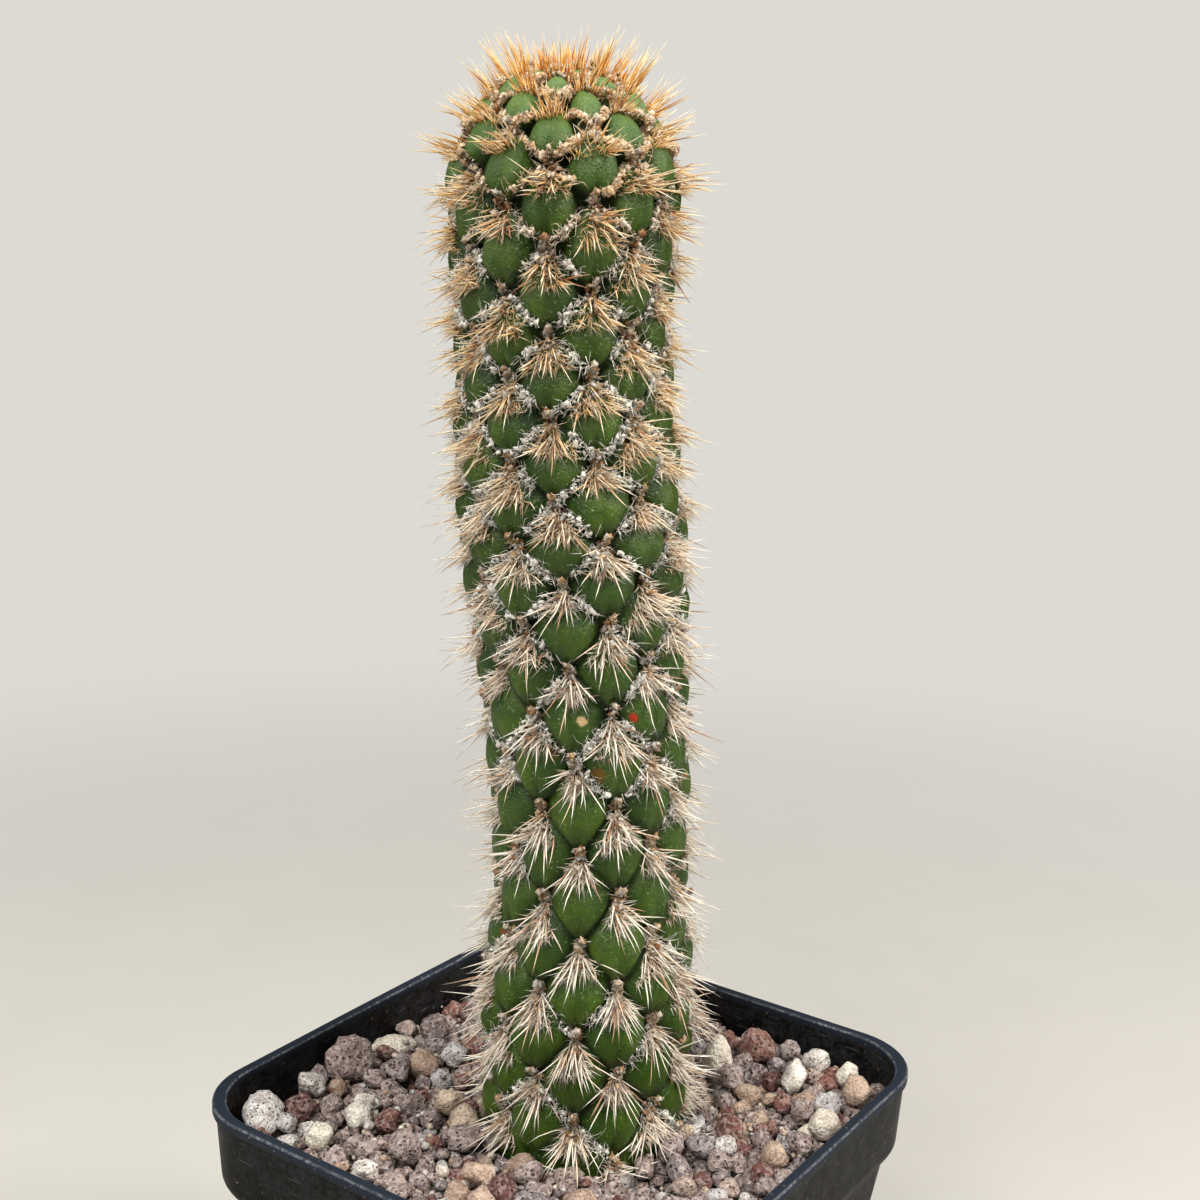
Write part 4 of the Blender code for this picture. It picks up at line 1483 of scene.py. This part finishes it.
# One broken, weathered stone round the origin
def shapeStone(rng, sphere, rough):
    seed = rng.uniform(0, 90)
    size = stoneShape["size"]
    for breadth, depth in stoneShape["lumps"]:
        size = size + depth * grain(sphere, breadth, seed)
    least, soft = stoneShape["chipBreadth"], stoneShape["chipSoftness"]
    for chip in range(stoneShape["chips"]):
        facing = sphere @ unit(anyHeading(rng))
        cut = rng.uniform(*stoneShape["chipDepths"])
        # A flat of this depth on the side that faces it, and nothing elsewhere
        flat = np.where(facing > least, cut / np.maximum(facing, least), np.inf)
        size = np.minimum(size, flat + soft * np.maximum(size - flat, 0))
    size = size + rough * grain(sphere, stoneShape["roughSize"], seed)
    return sphere * size[:, None]


def turnedAtRandom(rng, tilt):
    turn = Matrix.Rotation(rng.uniform(0, tau), 3, "Z")
    lean = Matrix.Rotation(rng.uniform(-tilt, tilt), 3, "X")
    return np.array(turn @ lean)


# Radii, places, kinds and shapes of the stones before they settle, the marked ones first
def dropStones(rng):
    radii = [radius * mm for x, y, radius, kind, shape in gravel["marked"]]
    places = [(stone[0] * mm, stone[1] * mm, gravel["markedDrop"] * mm) for stone in gravel["marked"]]
    kinds, shapes = map(list, zip(*(stone[3:] for stone in gravel["marked"])))
    names = list(gravel["kinds"])
    shares = [kind[0] for kind in gravel["kinds"].values()]
    field, (left, front) = gravel["field"], gravel["front"]
    for number in range(gravel["count"] + gravel["frontCount"]):
        inFront = number >= gravel["count"]
        while True:
            x, y = rng.uniform(-field, field) * mm, rng.uniform(-field, field) * mm
            if inFront and (y > front * mm or x < left * mm):
                continue
            if hypot(x - stemMiddle[0], y - stemMiddle[1]) > gravel["clear"] * mm:
                break
        low, high = rng.choices(gravel["sizes"], [size[0] for size in gravel["sizes"]])[0][1:]
        if inFront:
            low, high = gravel["frontRadii"]
        radii.append(rng.uniform(low, high))
        places.append((x, y, (gravel["frontDrop"] if inFront else rng.uniform(*gravel["drops"])) * mm))
        kinds.append(rng.choices(names, shares)[0])
        shapes.append(tuple(rng.uniform(*limits) for limits in gravel["shapes"]))
    return np.array(radii), np.array(places), kinds, shapes


# Places for grit in the hollows between the stones, each with its radius
def scatterGrit(rng, places, radii):
    laid = 0
    while laid < grit["count"]:
        field = grit["field"]
        spot = np.array((rng.uniform(-field, field), rng.uniform(-field, field))) * mm
        radius = rng.uniform(*grit["radii"])
        if np.abs(spot).max() + radius > grit["wall"] or np.abs(spot).min() > grit["corner"]:
            continue
        if hypot(*(spot - stemMiddle)) < grit["clear"]:
            continue
        near = ((places[:, :2] - spot) ** 2).sum(axis=1)
        under = near < radii**2
        top = bedHeight(spot[None])[0] + gravel["restDepth"]
        if under.any():
            top = max(top, (places[under, 2] + np.sqrt(radii[under] ** 2 - near[under])).max())
        laid += 1
        if top <= grit["highest"]:
            yield np.array((*spot, top + grit["proud"] * radius)), radius


def makeGravel(materials):
    rng = random.Random(gravel["seed"])
    names = list(gravel["kinds"])
    radii, places, kinds, shapes = dropStones(rng)
    pinned = np.arange(len(radii)) < len(gravel["marked"])
    places = settleStones(radii, places, pinned)
    top = float(np.median(places[:, 2] + radii)) / mm
    print("settled", len(radii), "stones, half of them with tops over", round(top, 1), "mm")
    spheres = {level: iceSphere(level) for level in (1, 2, 3)}
    parts = {name: [] for name in names}

    def addStone(kind, place, radius, shape, level, tilt):
        sphere, triangles = spheres[level]
        stone = shapeStone(rng, sphere, gravel["kinds"][kind][2]) * np.array(shape) * radius
        stone = stone @ turnedAtRandom(rng, tilt).T + place
        chance = np.full(len(stone), rng.random())
        parts[kind].append((stone, np.empty((0, 4), int), triangles, {"chance": chance}))

    for place, radius, kind, shape, marked in zip(places, radii, kinds, shapes, pinned):
        hidden = place[2] + radius < gravel["hiddenTop"]
        level = 1 if hidden else 3 if radius > gravel["fineFrom"] else 2
        tilt = gravel["markedTilt"] if marked else gravel["tilt"]
        addStone(kind, place, radius * gravel["growth"], shape, level, tilt)
    gritShares = [kind[1] for kind in gravel["kinds"].values()]
    for place, radius in scatterGrit(rng, places, radii):
        kind = rng.choices(names, gritShares)[0]
        addStone(kind, place, radius, grit["shape"], 1, gravel["tilt"])
    for name in names:
        stones = makePiece(name + "Stones", joinParts(parts[name]), materials[name])
        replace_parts(stones, "gravel")
    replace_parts(makeBed(materials["bed"]), "gravel")


# How far the pot's inner wall is from the stem's middle on this heading, at this height
def wallReach(heading, height):
    half = float(outerHalf(height)) - pot["wall"] - bed["wallGap"]
    corner = pot["cornerShare"] * half
    low, high = 0.0, 2 * half
    for halving in range(30):
        reach = (low + high) / 2
        spot = stemMiddle + heading * reach
        inset = np.maximum(np.abs(spot) - (half - corner), 0)
        inside = np.abs(spot).max() < half and hypot(*inset) < corner
        low, high = (reach, high) if inside else (low, reach)
    return low


# The fine dark stuff under the stones, a closed slab with a crumbly top and a stem hole. Its near-black
# colour is partly soil, partly painted shade in the gaps between the stones
def makeBed(material):
    around, steps = bed["around"], bed["rings"]
    headings = levelHeadings(np.arange(around) * tau / around)[:, :2]
    inner = gravel["stemRadii"][0]
    topReach, lowReach = (
        np.array([wallReach(heading, gravel[key]) for heading in headings]) for key in ("bedTop", "bottom")
    )
    rings = []
    for step in range(steps):
        reach = inner + (topReach - inner) * step / (steps - 1)
        flat = np.zeros((around, 3))
        flat[:, :2] = stemMiddle + headings * reach[:, None]
        crumb = sum(grain(flat, size * mm, seed) * depth * mm for size, seed, depth in bed["crumbs"])
        flat[:, 2] = bedHeight(flat) + gravel["restDepth"] + crumb
        rings.append(flat)
    for reach in (lowReach, inner + 0 * lowReach):
        spots = stemMiddle + headings * reach[:, None]
        rings.append(np.concatenate((spots, np.full((around, 1), gravel["bottom"])), axis=1))
    starts = np.arange(len(rings)) * around
    # The last ring meets the first one, and the faces are turned to look out
    quads = joinRings(starts, np.roll(starts, -1), around)[:, (0, 3, 2, 1)]
    return makePiece("gravelBed", (np.concatenate(rings), quads, [], {}), material)


# the colours of each kind, by chance
stoneColours = {
    "lava": (
        (118, 104, 104), (156, 140, 138), (178, 162, 158), (134, 120, 122), (188, 166, 156), (140, 134, 140),
    ),
    "scoria": ((124, 82, 76), (148, 104, 96), (106, 70, 68), (164, 124, 114)),
    "pumice": ((224, 220, 214), (250, 248, 244), (200, 200, 204), (240, 236, 230)),
    "tan": ((200, 168, 146), (222, 206, 182), (178, 152, 134), (216, 190, 170)),
    "cream": ((246, 238, 216), (252, 248, 238), (242, 230, 208)),
    # near black: partly soil, partly painted shade in the gaps between the stones
    "bed": ((16, 12, 11), (38, 29, 27)),
}
# material, scale and openness of the pits, strength of the pale dust, least roughness
stoneFinishes = {
    "lava": ("mauveLava", 1100.0, 0.5, 0.4, 0.8),
    "scoria": ("redScoria", 1000.0, 0.52, 0.25, 0.82),
    "pumice": ("palePumice", 1300.0, 0.4, 0.2, 0.85),
    "tan": ("tanGrit", 1500.0, 0.24, 0.15, 0.65),
    "cream": ("creamLime", 1500.0, 0.16, 0.1, 0.6),
    "bed": ("darkBed", 900.0, 0.5, 0.3, 0.9),
}
stoneCoats = {
    "shade": (166, 156, 154),
    "specks": (226, 214, 204),
    "dust": (214, 202, 194),
    # painted shade: the stones' pits are coloured near black
    "pits": ((44, 34, 32), 0.75),
}


def makeStoneMaterial(kind):
    name, pitScale, openness, pale, roughness = stoneFinishes[kind]
    material, shader, place = startMaterial(name, Specular_IOR_Level=0.3)
    stops = list(zip(np.linspace(0, 1, len(stoneColours[kind])), stoneColours[kind]))
    colour = colourRamp(readValues(place, "chance")[0], stops)
    patches = mottle(place, 420.0, 0.5)
    colour = blendColours(patches, colour, blendColours(1.0, colour, stoneCoats["shade"], "MULTIPLY"))
    colour = coat(colour, speckle(place, 1600.0, 0.38, 0.4), stoneCoats["specks"], pale)
    holes, height = pits(place, pitScale, openness)
    colour = coat(colour, between(height, 0.42, 0.62), stoneCoats["dust"], pale)
    # Painted shade: the pits' hollows are darkened
    colour = coat(colour, holes, *stoneCoats["pits"])
    feed(shader, Base_Color=colour, Roughness=spanned(patches, 0.12, roughness))
    addBump(shader, height, 1.0, 0.7 * mm)
    return material


# Pot

def roundedSquare(half, bow, height):
    radius = pot["cornerShare"] * half
    middle = half - radius
    ring = []
    for corner in range(4):
        heading = (corner + 0.5) * pi / 2
        centre = np.array((cos(heading), sin(heading))) * middle * sqrt(2)
        for step in range(pot["cornerCuts"] + 1):
            angle = (corner + step / pot["cornerCuts"]) * pi / 2
            ring.append(centre + radius * np.array((cos(angle), sin(angle))))
        # The side after this corner, bowed out a little
        angle = (corner + 1) * pi / 2
        out = np.array((cos(angle), sin(angle)))
        aside = np.array((-sin(angle), cos(angle)))
        for step in range(1, pot["sideCuts"]):
            share = step / pot["sideCuts"]
            along = middle * (2 * share - 1)
            ring.append(out * (half + bow * sin(pi * share) ** 2) + aside * along)
    ring = np.array(ring)
    return np.concatenate((ring, np.full((len(ring), 1), height)), axis=1)


# The pot's profile as half widths and heights, from the middle of its foot up the outside,
# over the lip and down the inside
def potProfile():
    edge, foot, base, rim = pot["edge"], pot["footRound"], pot["floor"], pot["rimHalf"]
    beadFoot = rimHeight - pot["beadHeight"]
    levels = []

    def addArc(half, height, radius, start, end, cuts):
        for step in range(cuts + 1):
            angle = radians(start + (end - start) * step / cuts)
            levels.append((half + radius * cos(angle), height + radius * sin(angle)))

    def addWall(heights, inset=0.0):
        for height in heights:
            levels.append((float(outerHalf(height)) - inset, height))

    footHalf = float(outerHalf(foot))
    levels.append((footHalf - 6 * foot, 0.0))
    addArc(footHalf - foot, foot, foot, -90, 0, 4)
    addWall(stepBottom * np.linspace(0.06, 0.97, 12))
    # The rounded shoulder under the band
    cuts = pot["shoulderCuts"]
    for share in (step / cuts for step in range(cuts + 1)):
        half = float(outerHalf(bandBottom)) - pot["stepIn"] * (1 - sin(share * pi / 2) ** 0.9)
        levels.append((half, stepBottom + pot["stepHeight"] * share**1.15))
    addWall(bandBottom + (beadFoot - bandBottom) * np.array((0.15, 0.4, 0.7, 1.0)))
    # The bead and the lip, then the inside
    addArc(rim - edge * 0.6, beadFoot + edge * 0.6, edge * 0.6, -60, 0, 2)
    addArc(rim - edge, rimHeight - edge, edge, 0, 90, 4)
    addArc(rim - pot["lipWidth"] + edge, rimHeight - edge, edge, 90, 180, 4)
    addWall((beadFoot, bandBottom, stepBottom + 1 * mm), pot["wall"])
    addWall(np.linspace(stepBottom - 1 * mm, base + 1 * mm, 10), pot["wall"])
    addWall((base,), pot["wall"] + 1 * mm)
    return levels


def drainCutters():
    drains = bmesh.new()
    for x in (-pot["drainOffset"], pot["drainOffset"]):
        for y in (-pot["drainOffset"], pot["drainOffset"]):
            bmesh.ops.create_cone(
                drains,
                cap_ends=True,
                segments=pot["drainSides"],
                radius1=pot["drainRadius"],
                radius2=pot["drainRadius"],
                depth=4 * pot["floor"],
                matrix=Matrix.Translation((x, y, pot["floor"] / 2)),
            )
    return addObject("drainCutter", finishMesh("drainCutter", drains))


def makePot(material):
    rings = []
    for half, height in potProfile():
        bow = pot["sideBow"] * smooth(height / pot["bowOver"])
        bow = bow * smooth((rimHeight + pot["bowTop"] - height) / pot["bowFade"])
        if height > bandBottom:
            bow = bow * pot["bandBow"]
        rings.append(roundedSquare(half, bow, height))
    around = len(rings[0])
    starts = np.arange(len(rings)) * around
    quads = joinRings(starts[:-1], starts[1:], around)
    caps = [list(reversed(range(around))), list(range(starts[-1], starts[-1] + around))]
    mesh = bpy.data.meshes.new("potShell")
    mesh.from_pydata(np.concatenate(rings).tolist(), [], quads.tolist() + caps)
    # The drain holes, cut through the base
    shell, cutter = addObject("potBlank", mesh), drainCutters()
    boolean = shell.modifiers.new("drains", "BOOLEAN")
    boolean.operation = "DIFFERENCE"
    boolean.solver = "EXACT"
    boolean.object = cutter
    graph = bpy.context.evaluated_depsgraph_get()
    cut = bpy.data.meshes.new_from_object(shell.evaluated_get(graph))
    bpy.data.objects.remove(shell)
    bpy.data.objects.remove(cutter)
    cut.shade_smooth()
    cut.set_sharp_from_angle(angle=pot["sharp"])
    piece = placePiece("potShell", cut, material)
    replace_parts(piece, "pot")


potLook = {
    "blacks": ((10, 9, 8), (20, 18, 16)),
    "dust": ((120, 122, 126), 0.12),
    "dustFrom": (70 * mm, 90 * mm),
    # painted reflection: a bluish-grey sheen coloured onto the lip
    "lip": (40, 46, 56),
    "lipFrom": (87.6 * mm, 89.2 * mm),
    # the lip's edges are pale: partly wear, partly a painted highlight
    "wearAndGlint": (166, 172, 182),
    "wearAndGlintHeight": 89.7 * mm,  # of the lip's two edges
    "wearAndGlintReach": (0.3 * mm, 0.1 * mm),
    "specks": (150, 146, 140),
    "scratches": ((150, 152, 156), 0.25),
}
soilLook = {"soils": ((46, 34, 26), (92, 70, 50)), "bits": (196, 190, 178)}


def makePotMaterial():
    look = potLook
    material, shader, place = startMaterial("blackPlastic", Specular_IOR_Level=0.1)
    patches = mottle(place, 60.0, 0.4)
    dusty = mottle(place, 240.0, 0.6)
    fine = mottle(place, 1400.0, 0.5)
    height = put(place, "SeparateXYZ", {0: place}).outputs["Z"]
    colour = blendColours(patches, *look["blacks"])
    # Pale dust, thicker towards the lip
    high = between(height, *look["dustFrom"])
    colour = coat(colour, multiply(dusty, high), *look["dust"])
    # Painted reflection: the lip is coloured bluish grey, as its sheen
    lip = between(height, *look["lipFrom"])
    colour = blendColours(lip, colour, look["lip"])
    # The lip's two edges are pale: partly wear, partly a painted highlight where they would glint
    off = reckon("ABSOLUTE", reckon("SUBTRACT", height, look["wearAndGlintHeight"]))
    wearAndGlint = multiply(multiply(between(off, *look["wearAndGlintReach"]), fine), spanned(dusty, 0.5, 0.15))
    colour = blendColours(wearAndGlint, colour, look["wearAndGlint"])
    # Mineral specks, most of them in the dust
    specks = multiply(speckle(place, 900.0, 0.3, 0.3), spanned(dusty, 0.5, 0.02))
    colour = blendColours(specks, colour, look["specks"])
    # Fine scratches run along the band
    stretch = put(place, "Mapping", {"Vector": place, "Scale": (1, 1, 14)})
    lines = put(place, "TexNoise", {"Vector": stretch.outputs[0], "Scale": 160.0, "Detail": 5.0})
    scratch = multiply(between(lines.outputs[0], 0.62, 0.72), reckon("SUBTRACT", high, lip))
    colour = coat(colour, scratch, *look["scratches"])
    feed(shader, Base_Color=colour, Roughness=spanned(patches, 0.14, 0.42))
    addBump(shader, fine, 0.15, 0.1 * mm)
    return material


def makeSoilMaterial():
    material, shader, place = startMaterial("pottingMix", Specular_IOR_Level=0.2, Roughness=0.95)
    colour = blendColours(mottle(place, 300.0, 0.5), *soilLook["soils"])
    colour = blendColours(speckle(place, 420.0, 0.36, 0.3), colour, soilLook["bits"])
    feed(shader, Base_Color=colour)
    addBump(shader, pits(place, 700.0, 0.5)[1], 0.9, 0.6 * mm)
    return material


# Everything in order

placeCamera()
makeFloor()
lightStudio()
print("camera, floor and light are set")
makeSkin(makeSkinMaterial())
makeSpines(makeSpineMaterial())
makeFelt(makeFeltMaterial(), makeWoolMaterial())
makeGravel({kind: makeStoneMaterial(kind) for kind in stoneFinishes})
makePot(makePotMaterial())
soilMaterial = makeSoilMaterial()
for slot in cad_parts["potting_mix"].material_slots:
    slot.material = soilMaterial
print("the potting mix has its material")

boxes = {"cad": cadBox, "visual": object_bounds()}
plain = {name: [[round(c, 6) for c in corner] for corner in box] for name, box in boxes.items()}
print("sizes", plain)
